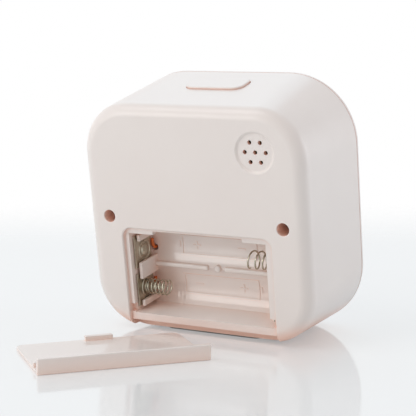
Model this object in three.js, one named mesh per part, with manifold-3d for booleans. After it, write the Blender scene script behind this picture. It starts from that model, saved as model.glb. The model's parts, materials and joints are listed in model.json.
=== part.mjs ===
// Digital kitchen timer that leans back on its flat base, with its battery door taken off beside it.
// Millimetres, +Z up, face towards -Y. The origin is the middle of the base pad's lower face.
import * as THREE from 'three';
import { mergeVertices } from 'three/addons/utils/BufferGeometryUtils.js';
import Module from 'manifold-3d';

const wasm = await Module();
wasm.setup();
const degrees = Math.PI / 180;

// Body: the face outline tapers to a smaller back outline, and the underside lies level when it leans
const FACE_WIDTH = 90.3;
const FACE_HEIGHT = 92.5;
const FACE_CORNER = 24.5;
const FACE_ROUND = 1.5;
const BACK_WIDTH = 86;
const BACK_HEIGHT = 82.7;
const BACK_CORNER = 18.2;
const BACK_ROUND = 4.6;
const TAPER_DEPTH = 35.9;
const LEAN = 8.5 * degrees;
const WALL = 2.2;

// Gaps between pieces: seated pieces, moving pieces, and the door in its opening
const SEAT_GAP = 0.3;
const RUNNING_GAP = 0.35;
const DOOR_GAP = 0.45;

// Front panel: a shallow tray whose tongue reaches into the rear housing
const PANEL_RIM = 1.6;
const PANEL_WALL = 2.2;
const TONGUE_LENGTH = 3;
const TONGUE_WALL = 1.2;

// Rubber pad under the base
const PAD_WIDTH = 38;
const PAD_LENGTH = 26;
const PAD_THICK = 1.6;
const PAD_PROUD = 0.85;
const PAD_CORNER = 3;

// Battery bay for two AA cells, one above the other
const CELL_DIAMETER = 14.5;
const CELL_LENGTH = 50.5;
const CELL_PITCH = 14.7;
const CELL_PLAY = 3.3;
const CELL_SIDE_PLAY = 0.1;
const CELL_TOP_PLAY = 1.9;
const CELL_TO_DOOR = 1.2;
const LOWER_CELL_HEIGHT = 15.6;
const CRADLE_RADIUS = 12;
const BAY_WALL = 1.8;
const LEDGE_SIDE = 1.7;
const LEDGE_TOP = 0.9;
const LIP_LENGTH = 10;
const LIP_DROP = 1.4;
const BRIDGE_LIP = 1.2;
const RIDGE_THICK = 1.8;
const RIDGE_RISE = 0.8;
const RIDGE_GAP_START = -2.9;
const RIDGE_GAP_END = 3.6;
const BOSS_DIAMETER = 2.2;
const BOSS_OFFSET = -0.2;

// Contact plates, the clips that hold them, and their springs
const CONTACT_THICK = 0.4;
const CONTACT_DEPTH = 10.9;
const PLATE_REACH = 5.75;
const CLIP_THICK = 1.2;
const CLIP_HEIGHT = 6.2;
const CLIP_HOLD = 2;
const CLIP_SHORT = 1.3;
const DIMPLE_DIAMETER = 5;
const DIMPLE_RISE = 1.1;
const UPPER_CONTACT_DROP = 0.9;
const TIGHT_DIAMETER = 5.8;
const WIDE_DIAMETER = 6.8;
const SPRING_WIRE = 0.6;
const TIGHT_PITCH = 1.55;
const TIGHT_TURNS = 5;
const WIDE_PITCH = 2.8;
const WIDE_TURNS = 3.5;

// Battery door: a plate that fills the opening, a flange under the base, two lugs and a latch
const OPENING_CORNER = 3.5;
const OPENING_EASE = 0.5;
const DOOR_RECESS = 1.5;
const DOOR_THICK = 1.2;
const DOOR_EDGE = 0.4;
const FLANGE_DEPTH = 5.5;
const FLANGE_THICK = 2.2;
const FLANGE_GAP = 0.6;
const LUG_RISE = 6;
const LUG_HEIGHT = 2;
const LUG_LENGTH = 1.5;
const LATCH_WIDTH = 9.8;
const LATCH_RISE = 1.6;
const LATCH_SET = 0.95;
const LATCH_DEPTH = 1.4;
const LATCH_NOSE = 0.9;
const LATCH_NOSE_THICK = 0.6;
const DOOR_SPOT_X = 1.7;
const DOOR_SPOT_Y = 67.5;
const DOOR_TURN = -132.2 * degrees;

// Housing screws at the bottom of deep wells
const SCREW_HEIGHT = 44.3;
const WELL_DIAMETER = 4.5;
const WELL_DEPTH = 18;
const PILLAR_DIAMETER = 8;
const PILLAR_DEPTH = 28.5;
const PILLAR_CLEAR = 1.2;
const SCREW_DIAMETER = 2.4;
const SCREW_HEAD = 3.8;
const SCREW_HEAD_HEIGHT = 1.5;
const SCREW_LENGTH = 18;
const SCREW_CHAMFER = 0.6;

// Sound holes and the sounder behind them
const SOUND_INSET = 17.7;
const SOUND_DROP = 15;
const SOUND_DISH = 13.6;
const SOUND_DISH_DEPTH = 0.7;
const SOUND_DISH_EDGE = 0.7;
const SOUND_HOLE = 1.5;
const SOUND_SPACING = 3.85;
const SOUND_HOLES = 6;
const SOUNDER_DIAMETER = 18;
const SOUNDER_THICK = 0.4;
const SOUNDER_ROOM = 2;
const CERAMIC_DIAMETER = 12.5;
const CERAMIC_THICK = 0.4;
const SOUNDER_RING = 1.2;
const SOUNDER_SEAT = 1;

// Top bar button and its switch board
const BAR_WIDTH = 22;
const BAR_DEPTH = 11;
const BAR_CORNER = 3.5;
const BAR_RISE = 0.8;
const BAR_EDGE = 0.4;
const BAR_FLANGE = 1.4;
const BAR_FLANGE_THICK = 1;
const BAR_STEM = 0.9;
const TOP_BOARD_DEPTH = 9;
const TOP_POST = 5;
const TOP_BOARD_MARGIN = 0.6;
const TOP_BOARD_CLEAR = 1.22;

// Display: window, glass, holder and contact strip
const WINDOW_CORNER = 5;
const WINDOW_THICK = 1.2;
const WINDOW_LIP = 2.6;
const VIEW_MARGIN = 1.5;
const GLASS_WIDTH = 54;
const GLASS_HEIGHT = 30;
const GLASS_THICK = 2;
const HOLDER_WALL = 1.5;
const STRIP_THICK = 2.4;
const STRIP_DEPTH = 3.6;
const STRIP_MARGIN = 1.5;
const HOLDER_WINDOW_MARGIN = 6;

// Boards, switches and the small pieces on them
const BOARD_THICK = 1.2;
const BOARD_MARGIN = 3.2;
const BOARD_TOP_MARGIN = 7.4;
const BOARD_CORNER = 2;
const BOARD_SCREW_DIAMETER = 1.8;
const BOARD_SCREW_HEAD = 3.6;
const BOARD_SCREW_HEAD_HEIGHT = 1.3;
const BOARD_SCREW_LENGTH = 4.2;
const BOARD_POST = 5;
const SWITCH_SIZE = 6;
const SWITCH_HEIGHT = 3.2;
const PLUNGER_DIAMETER = 3.4;
const PLUNGER_RISE = 0.9;
const PLUNGER_SUNK = 0.7;
const PLUNGER_ROOM = 1.7;
const CHIP_DIAMETER = 13;
const CHIP_RISE = 2;
const CHIP_ABOVE_KEYS = 17;
const CRYSTAL_DIAMETER = 2.2;
const CRYSTAL_LENGTH = 6.5;
const CRYSTAL_OFFSET = 16;
const CAPACITOR_DIAMETER = 5;
const CAPACITOR_LENGTH = 7;
const CAPACITOR_OFFSET = 17;

// Front keys in a row under the display
const KEY_SPACE = 6;
const KEY_WIDTH = 14;
const KEY_HEIGHT = 8;
const KEY_RISE = 0.8;
const KEY_EDGE = 0.4;
const KEY_DROP = 16;
const KEY_CORNER = 3.5;
const KEY_FLANGE = 1.2;
const KEY_FLANGE_THICK = 0.9;

// Insulated leads
const LEAD_DIAMETER = 1.3;
const LEAD_RUN = 4;
const FINE_LEAD_DIAMETER = 0.9;

// Smoothness of round forms
const CORNER_STEPS = 12;
const ROUND_STEPS = 7;
const ROD_SIDES = 24;
const HOLE_SIDES = 16;
const ARC_STEPS = 6;
const CRADLE_STEPS = 9;
const CURL_STEPS = 8;
const WIRE_SIDES = 5;
const LEAD_SIDES = 8;
const LEAD_STEPS = 18;
const EDGE_STEPS = 3;
const MERGE_DISTANCE = 1e-5;
const NEARLY_UPRIGHT = 0.9;

// How far a cut runs past the face that it opens
const PAST = 1;

// Finishes, read from the photograph where it shows the piece
const PALE_PINK = { color: 0xe9dad2, roughness: 0.42, metalness: 0 };
const WHITE_PLASTIC = { color: 0xf2f0ec, roughness: 0.5, metalness: 0 };
const NICKEL = { color: 0xb9b2a2, roughness: 0.32, metalness: 1 };
const STEEL = { color: 0xa9a79f, roughness: 0.38, metalness: 1 };
const BRASS = { color: 0xc9a352, roughness: 0.35, metalness: 1 };
const CERAMIC = { color: 0xe6e1d4, roughness: 0.6, metalness: 0 };
const CLEAR = { color: 0xdfe4e4, roughness: 0.08, metalness: 0 };
const LCD_GREY = { color: 0xaab3a6, roughness: 0.25, metalness: 0 };
const BOARD_GREEN = { color: 0x2f6b45, roughness: 0.55, metalness: 0 };
const BLACK_RESIN = { color: 0x1c1c1e, roughness: 0.35, metalness: 0 };
const GREY_RUBBER = { color: 0x8c8a88, roughness: 0.85, metalness: 0 };
const BLACK_PLASTIC = { color: 0x2a2a2c, roughness: 0.5, metalness: 0 };
const ORANGE_LEAD = { color: 0xd8551f, roughness: 0.45, metalness: 0 };
const BLACK_LEAD = { color: 0x26262a, roughness: 0.45, metalness: 0 };

// Stations along the depth of the leaning body, Y from face to back
const frontEdge = -(TAPER_DEPTH + BACK_ROUND) / 2;
const roundStart = frontEdge + TAPER_DEPTH;
const backFace = roundStart + BACK_ROUND;
const faceFront = frontEdge - FACE_ROUND;
const parting = frontEdge + PANEL_RIM;
const panelInner = faceFront + PANEL_WALL;
const backInner = backFace - WALL;
const glassFront = panelInner + SEAT_GAP;
const stripFront = glassFront + GLASS_THICK + SEAT_GAP;
const boardFront = stripFront + STRIP_DEPTH + SEAT_GAP;
const boardBack = boardFront + BOARD_THICK;
const ledge = backFace - DOOR_RECESS;
const cellAxis = ledge - CELL_TO_DOOR - CELL_DIAMETER / 2;
const bayDeep = cellAxis - CELL_DIAMETER / 2;
const pillarEnd = backFace - PILLAR_DEPTH;
const wellFloor = backFace - WELL_DEPTH;

// Heights up the leaning body, Z from the underside's line at mid depth
const bayFloor = LOWER_CELL_HEIGHT - CELL_DIAMETER / 2 - CELL_SIDE_PLAY;
const upperCellHeight = LOWER_CELL_HEIGHT + CELL_PITCH;
const bayMiddle = LOWER_CELL_HEIGHT + CELL_PITCH / 2;
const bayTop = upperCellHeight + CELL_DIAMETER / 2 + CELL_TOP_PLAY;
const openingTop = bayTop + LEDGE_TOP;

// Half widths across the body
const contactFace = (CELL_LENGTH + CELL_PLAY) / 2;
const bayEnd = contactFace + CONTACT_THICK + SEAT_GAP;
const openingHalf = bayEnd + LEDGE_SIDE;
const holderHalfWidth = GLASS_WIDTH / 2 + SEAT_GAP + HOLDER_WALL;
const boardHalf = holderHalfWidth + SEAT_GAP;
const screwX = holderHalfWidth + PILLAR_CLEAR + PILLAR_DIAMETER / 2;
const screwPlaces = [-screwX, screwX];
const soundX = SOUND_INSET - BACK_WIDTH / 2;

// Height of the underside at a depth: it follows the lean, so that it lies level
function undersideAt(depth) {
  return depth * Math.tan(LEAN);
}

// Height of the top at a depth
function topAt(depth) {
  const share = (depth - frontEdge) / TAPER_DEPTH;
  const front = undersideAt(frontEdge) + FACE_HEIGHT;
  const back = undersideAt(roundStart) + BACK_HEIGHT;
  return THREE.MathUtils.lerp(front, back, share);
}

// Layout of the face, from the top down: board posts, display, key row, board posts
const soundHeight = topAt(roundStart) - SOUND_DROP;
const viewWidth = GLASS_WIDTH - 2 * VIEW_MARGIN;
const viewHeight = GLASS_HEIGHT - 2 * VIEW_MARGIN;
const windowWidth = viewWidth + 2 * WINDOW_LIP;
const windowHeight = viewHeight + 2 * WINDOW_LIP;
const holderHalfHeight = GLASS_HEIGHT / 2 + SEAT_GAP + HOLDER_WALL;
const boardTop = topAt(frontEdge) - BOARD_TOP_MARGIN;
const postTop = boardTop - BOARD_MARGIN;
const displayHeight = postTop - BOARD_POST / 2 - 2 * SEAT_GAP - holderHalfHeight;
const keyRow = displayHeight - windowHeight / 2 - KEY_DROP;
const chipHeight = keyRow + CHIP_ABOVE_KEYS;
const keyPlaces = [-1, 0, 1].map((step) => step * (KEY_WIDTH + KEY_SPACE));
const keySides = ['left', 'middle', 'right'];
const postBottom = keyRow - KEY_HEIGHT / 2 - KEY_FLANGE - 2 * SEAT_GAP - BOARD_POST / 2;
const postX = boardHalf - BOARD_MARGIN;
const postPlaces = [[-postX, postBottom], [postX, postBottom], [-postX, postTop], [postX, postTop]];

// Cradle of the bay: its deepest line at a height above or below a cell's axis, and what stands clear of it
function cradleAt(offset) {
  return bayDeep + CRADLE_RADIUS - Math.sqrt(CRADLE_RADIUS ** 2 - offset ** 2);
}
const contactDeep = cradleAt(CELL_PITCH / 2) + SEAT_GAP;
const contactEdge = contactDeep + CONTACT_DEPTH;
const leadX = bayEnd - SEAT_GAP - LEAD_DIAMETER / 2;
const leadDepth = contactDeep - SEAT_GAP - LEAD_DIAMETER / 2;
const plateGap = CLIP_HEIGHT / 2 - CLIP_HOLD;
const lugRoom = undersideAt(backFace) + LUG_RISE + LUG_HEIGHT + DOOR_GAP;
const upperPlate = [bayMiddle + plateGap, upperCellHeight + PLATE_REACH];
const lowerPlate = [LOWER_CELL_HEIGHT - PLATE_REACH, bayMiddle - plateGap];

// The leaning body's own frame, and the frame of the sloping top: X across, -Y out of the top, Z to the back
const leanFrame = new THREE.Matrix4().makeRotationX(-LEAN).setPosition(0, 0, PAD_PROUD);
const barSwitchFront = WALL + SEAT_GAP + BAR_FLANGE_THICK + BAR_STEM + SEAT_GAP + PLUNGER_RISE;
const topBoardFront = barSwitchFront + SWITCH_HEIGHT + SEAT_GAP;
const topBoardBack = topBoardFront + BOARD_THICK;
const topSlope = Math.atan2(topAt(frontEdge) - topAt(roundStart), TAPER_DEPTH);
const topBoardReach = topBoardBack * Math.sin(topSlope) + (TOP_BOARD_DEPTH / 2) * Math.cos(topSlope);
const barDepthPlace = boardBack + TOP_BOARD_CLEAR + topBoardReach;
const topFrame = new THREE.Matrix4()
  .makeRotationX(-(Math.PI / 2 + topSlope))
  .setPosition(0, barDepthPlace, topAt(barDepthPlace));

// Merged, closed triangles of a three.js geometry, ready to be joined and cut
function solid(geometry) {
  geometry.deleteAttribute('normal');
  geometry.deleteAttribute('uv');
  const merged = mergeVertices(geometry, MERGE_DISTANCE);
  const corners = merged.index.array;
  const kept = [];
  for (let i = 0; i < corners.length; i += 3) {
    const [a, b, c] = [corners[i], corners[i + 1], corners[i + 2]];
    if (a !== b && b !== c && c !== a) kept.push(a, b, c);
  }
  return new wasm.Manifold(new wasm.Mesh({
    numProp: 3,
    vertProperties: new Float32Array(merged.attributes.position.array),
    triVerts: new Uint32Array(kept),
  }));
}

// The three.js geometry of a finished solid
function geometryOf(body) {
  const mesh = body.getMesh();
  const geometry = new THREE.BufferGeometry();
  geometry.setAttribute('position', new THREE.BufferAttribute(new Float32Array(mesh.vertProperties), 3));
  geometry.setIndex(new THREE.BufferAttribute(new Uint32Array(mesh.triVerts), 1));
  geometry.computeVertexNormals();
  return geometry;
}

// One named piece with a finish of its own, set at its place
function piece(name, body, finish, place = [0, 0, 0]) {
  const mesh = new THREE.Mesh(geometryOf(body), new THREE.MeshStandardMaterial(finish));
  mesh.name = name;
  mesh.position.set(...place);
  return mesh;
}

// The same solid carried into another frame
function moved(body, frame) {
  return solid(geometryOf(body).applyMatrix4(frame));
}

// The same solid at another place
function shifted(body, x, y, z) {
  return moved(body, new THREE.Matrix4().makeTranslation(x, y, z));
}

// Closed skin over rings of equal count, the front ring first, each counter-clockwise seen from the front
function skin(rings) {
  const count = rings[0].length;
  const last = (rings.length - 1) * count;
  const points = rings.flat().flatMap((p) => [p.x, p.y, p.z]);
  const faces = [];
  for (let start = 0; start < last; start += count) {
    for (let j = 0; j < count; j += 1) {
      const a = start + j;
      const d = start + ((j + 1) % count);
      faces.push(a, a + count, d + count, a, d + count, d);
    }
  }
  for (let j = 1; j < count - 1; j += 1) {
    faces.push(0, j, j + 1, last, last + j + 1, last + j);
  }
  const geometry = new THREE.BufferGeometry();
  geometry.setAttribute('position', new THREE.Float32BufferAttribute(points, 3));
  geometry.setIndex(faces);
  return solid(geometry);
}

// One ring: a rectangle with round corners, standing in X and Z at a depth
function ring(halfWidth, bottom, top, corner, depth, steps) {
  const x = halfWidth - corner;
  const centres = [[x, bottom + corner], [x, top - corner], [-x, top - corner], [-x, bottom + corner]];
  return centres.flatMap(([cx, cz], quarter) => {
    const arc = [];
    for (let k = 0; k <= steps; k += 1) {
      const angle = (quarter - 1 + k / steps) * (Math.PI / 2);
      arc.push(new THREE.Vector3(cx + corner * Math.cos(angle), depth, cz + corner * Math.sin(angle)));
    }
    return arc;
  });
}

// A ring of the tapering body at a depth, drawn in by an inset
function bodyRing(depth, inset) {
  const station = THREE.MathUtils.clamp(depth, frontEdge, roundStart);
  const share = (station - frontEdge) / TAPER_DEPTH;
  const halfWidth = THREE.MathUtils.lerp(FACE_WIDTH, BACK_WIDTH, share) / 2 - inset;
  const corner = THREE.MathUtils.lerp(FACE_CORNER, BACK_CORNER, share) - inset;
  return ring(halfWidth, undersideAt(station) + inset, topAt(station) - inset, corner, depth, CORNER_STEPS);
}

// Steps of a small quarter round: how far out of the edge's start, and how far in from its side
function easedEdge(radius) {
  const steps = [];
  for (let k = 0; k <= EDGE_STEPS; k += 1) {
    const angle = (k / EDGE_STEPS) * (Math.PI / 2);
    steps.push([radius * Math.sin(angle), radius * (1 - Math.cos(angle))]);
  }
  return steps;
}

// Rings that round an edge from a start depth, forwards or backwards, beginning at an inset
function roundedRings(start, radius, inset, way) {
  const rings = [];
  for (let k = 1; k <= ROUND_STEPS; k += 1) {
    const angle = (k / ROUND_STEPS) * (Math.PI / 2);
    rings.push(bodyRing(start + way * radius * Math.sin(angle), inset + radius * (1 - Math.cos(angle))));
  }
  return rings;
}

// A box between two corners
function block(x0, x1, y0, y1, z0, z1) {
  const geometry = new THREE.BoxGeometry(x1 - x0, y1 - y0, z1 - z0);
  geometry.translate((x0 + x1) / 2, (y0 + y1) / 2, (z0 + z1) / 2);
  return solid(geometry);
}

// A round rod along Y
function rod(x, z, diameter, y0, y1, sides = ROD_SIDES) {
  const geometry = new THREE.CylinderGeometry(diameter / 2, diameter / 2, y1 - y0, sides);
  geometry.translate(x, (y0 + y1) / 2, z);
  return solid(geometry);
}

// A turned solid about Y, from radius and height pairs that start and end on the axis
function turned(profile, sides = ROD_SIDES) {
  return solid(new THREE.LatheGeometry(profile.map(([r, y]) => new THREE.Vector2(r, y)), sides));
}

// A low dome on Y, its foot at zero
function dome(diameter, rise) {
  const profile = [[0, 0]];
  for (let k = 0; k <= ARC_STEPS; k += 1) {
    const angle = (k / ARC_STEPS) * (Math.PI / 2);
    profile.push([(diameter / 2) * Math.cos(angle), rise * Math.sin(angle)]);
  }
  profile[profile.length - 1][0] = 0;
  return turned(profile);
}

// A screw on Y, its head standing above zero and its shank below
function screw(diameter, length, head, headHeight) {
  return turned([
    [0, -length],
    [diameter / 2, -length],
    [diameter / 2, 0],
    [head / 2, 0],
    [head / 2, headHeight - SCREW_CHAMFER],
    [head / 2 - SCREW_CHAMFER, headHeight],
    [0, headHeight],
  ], HOLE_SIDES);
}

// A rounded plate in X and Z, from y0 to y1, its edge eased at y0
function plate(width, height, corner, y0, y1, edge = 0) {
  const at = (depth, inset) => {
    const half = height / 2 - inset;
    return ring(width / 2 - inset, -half, half, corner - inset, depth, ARC_STEPS);
  };
  const eased = edge > 0 ? easedEdge(edge) : [[0, 0]];
  return skin([...eased.map(([out, inset]) => at(y0 + edge - out, inset)).reverse(), at(y1, 0)]);
}

// An outline in Y and Z pulled along X
function bar(outline, x0, x1, steps = ARC_STEPS) {
  const pull = { depth: x1 - x0, bevelEnabled: false, curveSegments: steps };
  const geometry = new THREE.ExtrudeGeometry(outline, pull);
  const across = new THREE.Vector3(0, 1, 0);
  const up = new THREE.Vector3(0, 0, 1);
  const along = new THREE.Vector3(1, 0, 0);
  geometry.applyMatrix4(new THREE.Matrix4().makeBasis(across, up, along));
  return solid(geometry.translate(x0, 0, 0));
}

// A straight-sided outline from its corners
function polygon(corners) {
  return new THREE.Shape(corners.map(([a, b]) => new THREE.Vector2(a, b)));
}

// An unbroken wire through points, closed at both ends
function wire(points, diameter, sides) {
  const upright = new THREE.Vector3(0, 0, 1);
  const sideways = new THREE.Vector3(1, 0, 0);
  const rings = [];
  let across = null;
  for (let i = 0; i < points.length; i += 1) {
    const before = points[Math.max(i - 1, 0)];
    const after = points[Math.min(i + 1, points.length - 1)];
    const along = after.clone().sub(before).normalize();
    if (across === null) {
      across = Math.abs(along.z) < NEARLY_UPRIGHT ? upright : sideways;
    }
    across = across.clone().addScaledVector(along, -across.dot(along)).normalize();
    const up = along.clone().cross(across);
    const section = [];
    for (let j = 0; j < sides; j += 1) {
      const angle = (-j / sides) * 2 * Math.PI;
      section.push(points[i].clone()
        .addScaledVector(across, (diameter / 2) * Math.cos(angle))
        .addScaledVector(up, (diameter / 2) * Math.sin(angle)));
    }
    rings.push(section);
  }
  return skin(rings);
}

// An insulated lead along a smooth curve
function lead(stops, diameter) {
  const curve = new THREE.CatmullRomCurve3(stops.map(([x, y, z]) => new THREE.Vector3(x, y, z)));
  return wire(curve.getSpacedPoints(LEAD_STEPS), diameter, LEAD_SIDES);
}

// Everything in a list joined into one solid
function joined(list) {
  return list.reduce((all, next) => all.add(next));
}

// A solid with everything in a list cut away
function cut(body, list) {
  return list.reduce((left, tool) => left.subtract(tool), body);
}

// Push button: outer surface at y = 0, inside towards +Y
function buttonCap(size, wall, switchFront) {
  const flangeFront = wall + SEAT_GAP;
  const flangeBack = flangeFront + size.flangeThick;
  const wide = 2 * size.flange;
  return joined([
    plate(size.width, size.height, size.corner, -size.rise, flangeBack, size.edge),
    plate(size.width + wide, size.height + wide, size.corner + size.flange, flangeFront, flangeBack),
    rod(0, 0, PLUNGER_DIAMETER, flangeFront, switchFront - PLUNGER_RISE - SEAT_GAP),
  ]);
}

// The hole that a push button runs in
function buttonHole(size, wall) {
  const wide = 2 * RUNNING_GAP;
  return plate(size.width + wide, size.height + wide, size.corner + RUNNING_GAP, -PAST, wall + PAST);
}

// Switch body with a pocket for its plunger, on the line of a button
function switchBody(switchFront) {
  const half = SWITCH_SIZE / 2;
  const body = block(-half, half, switchFront, switchFront + SWITCH_HEIGHT, -half, half);
  const bore = PLUNGER_DIAMETER + 2 * RUNNING_GAP;
  return body.subtract(rod(0, 0, bore, switchFront - PAST, switchFront + PLUNGER_ROOM));
}

// The plunger that a button presses
function switchPlunger(switchFront) {
  return rod(0, 0, PLUNGER_DIAMETER, switchFront - PLUNGER_RISE, switchFront + PLUNGER_SUNK);
}

const keySize = {
  width: KEY_WIDTH,
  height: KEY_HEIGHT,
  corner: KEY_CORNER,
  rise: KEY_RISE,
  edge: KEY_EDGE,
  flange: KEY_FLANGE,
  flangeThick: KEY_FLANGE_THICK,
};
const barSize = {
  width: BAR_WIDTH,
  height: BAR_DEPTH,
  corner: BAR_CORNER,
  rise: BAR_RISE,
  edge: BAR_EDGE,
  flange: BAR_FLANGE,
  flangeThick: BAR_FLANGE_THICK,
};
const keySwitchFront = boardFront - SEAT_GAP - SWITCH_HEIGHT - faceFront;
const topPostX = BAR_WIDTH / 2 + BAR_FLANGE + RUNNING_GAP + TOP_POST / 2;
const boardScrewHole = BOARD_SCREW_DIAMETER + 2 * SEAT_GAP;

// Front panel: rounded tray with a tongue, window seat, key holes, board posts and screw bosses
function frontPanel() {
  const outer = skin([
    ...roundedRings(frontEdge, FACE_ROUND, 0, -1).reverse(),
    bodyRing(frontEdge, 0),
    bodyRing(parting, 0),
  ]);
  const tongueInset = WALL + SEAT_GAP;
  const tongueEnd = parting + TONGUE_LENGTH;
  const tongue = skin([bodyRing(panelInner, tongueInset), bodyRing(tongueEnd, tongueInset)]);
  const hollowInset = tongueInset + TONGUE_WALL;
  const hollow = skin([bodyRing(panelInner, hollowInset), bodyRing(tongueEnd + PAST, hollowInset)]);
  const root = panelInner - PANEL_WALL / 2;
  const bosses = screwPlaces.map(
    (x) => rod(x, SCREW_HEIGHT, PILLAR_DIAMETER, root, pillarEnd - SEAT_GAP),
  );
  const posts = postPlaces.map(([x, z]) => rod(x, z, BOARD_POST, root, boardFront - SEAT_GAP));
  const seat = WINDOW_THICK + SEAT_GAP;
  const wide = 2 * SEAT_GAP;
  const seatCorner = WINDOW_CORNER + SEAT_GAP;
  const windowSeat = plate(windowWidth + wide, windowHeight + wide, seatCorner, -PAST, seat);
  const viewCorner = WINDOW_CORNER - WINDOW_LIP;
  const viewHole = plate(viewWidth, viewHeight, viewCorner, -PAST, PANEL_WALL + PAST);
  const screwTip = wellFloor + SEAT_GAP - SCREW_LENGTH;
  const postFloor = boardBack - BOARD_SCREW_LENGTH - SEAT_GAP;
  return cut(joined([outer.add(tongue).subtract(hollow), ...bosses, ...posts]), [
    shifted(windowSeat.add(viewHole), 0, faceFront, displayHeight),
    ...keyPlaces.map((x) => shifted(buttonHole(keySize, PANEL_WALL), x, faceFront, keyRow)),
    ...screwPlaces.map((x) => rod(x, SCREW_HEIGHT, SCREW_DIAMETER + wide, screwTip - wide, pillarEnd)),
    ...postPlaces.map(([x, z]) => rod(x, z, boardScrewHole, postFloor, boardFront)),
  ]);
}

// The bay's hollow, seen from its end: level floor and roof, with two cradles meeting in a ridge
function bayProfile() {
  const outline = new THREE.Shape();
  const floorTurn = Math.asin((LOWER_CELL_HEIGHT - bayFloor) / CRADLE_RADIUS);
  const ridgeTurn = Math.asin(CELL_PITCH / 2 / CRADLE_RADIUS);
  const roofTurn = Math.asin((bayTop - upperCellHeight) / CRADLE_RADIUS);
  const centre = bayDeep + CRADLE_RADIUS;
  outline.moveTo(ledge + PAST, bayFloor);
  outline.lineTo(cradleAt(LOWER_CELL_HEIGHT - bayFloor), bayFloor);
  outline.absarc(centre, LOWER_CELL_HEIGHT, CRADLE_RADIUS, Math.PI + floorTurn, Math.PI - ridgeTurn, true);
  outline.absarc(centre, upperCellHeight, CRADLE_RADIUS, Math.PI + ridgeTurn, Math.PI - roofTurn, true);
  outline.lineTo(ledge + PAST, bayTop);
  return outline;
}

// The opening that the door fills, in X and Z: round upper corners, and open below
function openingRing(depth, gap, bottom, edge = 0) {
  const half = openingHalf - gap - edge;
  const top = openingTop - gap - edge;
  const corner = OPENING_CORNER - gap - edge;
  const points = ring(half, bottom - 2 * corner, top, corner, depth, ARC_STEPS);
  return points.map((p) => (p.z < bottom ? new THREE.Vector3(p.x < 0 ? -half : half, p.y, bottom) : p));
}

// Clips that hold the contact plates against the ends of the bay
function contactClips() {
  const back = bayDeep - BAY_WALL / 2;
  const front = contactEdge - CLIP_SHORT;
  const face = contactFace - SEAT_GAP;
  const bands = [
    [lowerPlate[0] - SEAT_GAP, lowerPlate[0] + CLIP_HOLD],
    [bayMiddle - CLIP_HEIGHT / 2, bayMiddle + CLIP_HEIGHT / 2],
    [upperPlate[1] - CLIP_HOLD, upperPlate[1] + SEAT_GAP],
  ];
  return bands.flatMap(([z0, z1]) => [
    block(face - CLIP_THICK, face, back, front, z0, z1),
    block(-face, CLIP_THICK - face, back, front, z0, z1),
  ]);
}

// Lips that close the upper corners of the bay's mouth, and one in front of the long plate
function bayLips() {
  const root = BAY_WALL / 2;
  const front = contactEdge - SEAT_GAP;
  const corners = [[-bayEnd - root, LIP_LENGTH - bayEnd], [bayEnd - LIP_LENGTH, bayEnd + root]];
  const plateFront = contactEdge + SEAT_GAP;
  return [
    ...corners.map(([x0, x1]) => block(x0, x1, front, ledge, bayTop - LIP_DROP, bayTop + root)),
    block(-bayEnd - root, BRIDGE_LIP - bayEnd, plateFront, ledge, lugRoom, bayTop),
  ];
}

// Ridge between the cells, with a gap that holds a round boss
function bayRidge() {
  const back = bayDeep - BAY_WALL / 2;
  const crest = cradleAt(CELL_PITCH / 2) + RIDGE_RISE;
  const half = RIDGE_THICK / 2;
  const stop = contactFace - SEAT_GAP - CLIP_THICK / 2;
  const runs = [[-stop, RIDGE_GAP_START], [RIDGE_GAP_END, stop]];
  return [
    ...runs.map(([x0, x1]) => block(x0, x1, back, crest, bayMiddle - half, bayMiddle + half)),
    rod(BOSS_OFFSET, bayMiddle, BOSS_DIAMETER, back, crest, HOLE_SIDES),
  ];
}

// Sound holes: a dished round with a hole in the middle and a ring of holes
function soundCuts() {
  const slope = SOUND_DISH_EDGE / SOUND_DISH_DEPTH;
  const rim = SOUND_DISH / 2;
  const dish = turned([
    [0, -SOUND_DISH_DEPTH],
    [rim - SOUND_DISH_EDGE, -SOUND_DISH_DEPTH],
    [rim + slope * SOUND_DISH_DEPTH, SOUND_DISH_DEPTH],
    [0, SOUND_DISH_DEPTH],
  ], 2 * ROD_SIDES);
  const cuts = [shifted(dish, soundX, backFace, soundHeight)];
  const places = [[0, 0]];
  for (let k = 0; k < SOUND_HOLES; k += 1) {
    const angle = (k / SOUND_HOLES) * 2 * Math.PI;
    places.push([SOUND_SPACING * Math.cos(angle), SOUND_SPACING * Math.sin(angle)]);
  }
  for (const [x, z] of places) {
    const height = soundHeight + z;
    cuts.push(rod(x + soundX, height, SOUND_HOLE, backInner - PAST, backFace + PAST, HOLE_SIDES));
  }
  return cuts;
}

// Where the sounder rests in its ring, counted from the back wall
const sounderSeat = backInner - SOUNDER_ROOM;
const sounderBack = sounderSeat - SEAT_GAP;
const ceramicBack = sounderBack - SOUNDER_THICK - SEAT_GAP;

// Ring behind the sound holes that carries the sounder
function sounderRing() {
  const bore = SOUNDER_DIAMETER + 2 * SEAT_GAP;
  const front = sounderBack - SOUNDER_THICK - SOUNDER_RING;
  const wall = rod(0, 0, bore + 2 * SOUNDER_RING, front, backInner + WALL / 2);
  const hollow = rod(0, 0, bore, front - PAST, sounderSeat);
  const room = rod(0, 0, SOUNDER_DIAMETER - 2 * SOUNDER_SEAT, front - PAST, backInner);
  return shifted(cut(wall, [hollow, room]), soundX, 0, soundHeight);
}

// Holes at the deep corner of the bay, where the battery leads come in
const leadDrop = LEAD_RUN / 2;
function leadHoles() {
  const bore = LEAD_DIAMETER + 4 * SEAT_GAP;
  return [LOWER_CELL_HEIGHT, upperCellHeight].map(
    (z) => rod(leadX, z - leadDrop, bore, bayDeep - 2 * BAY_WALL, contactDeep, HOLE_SIDES),
  );
}

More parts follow.
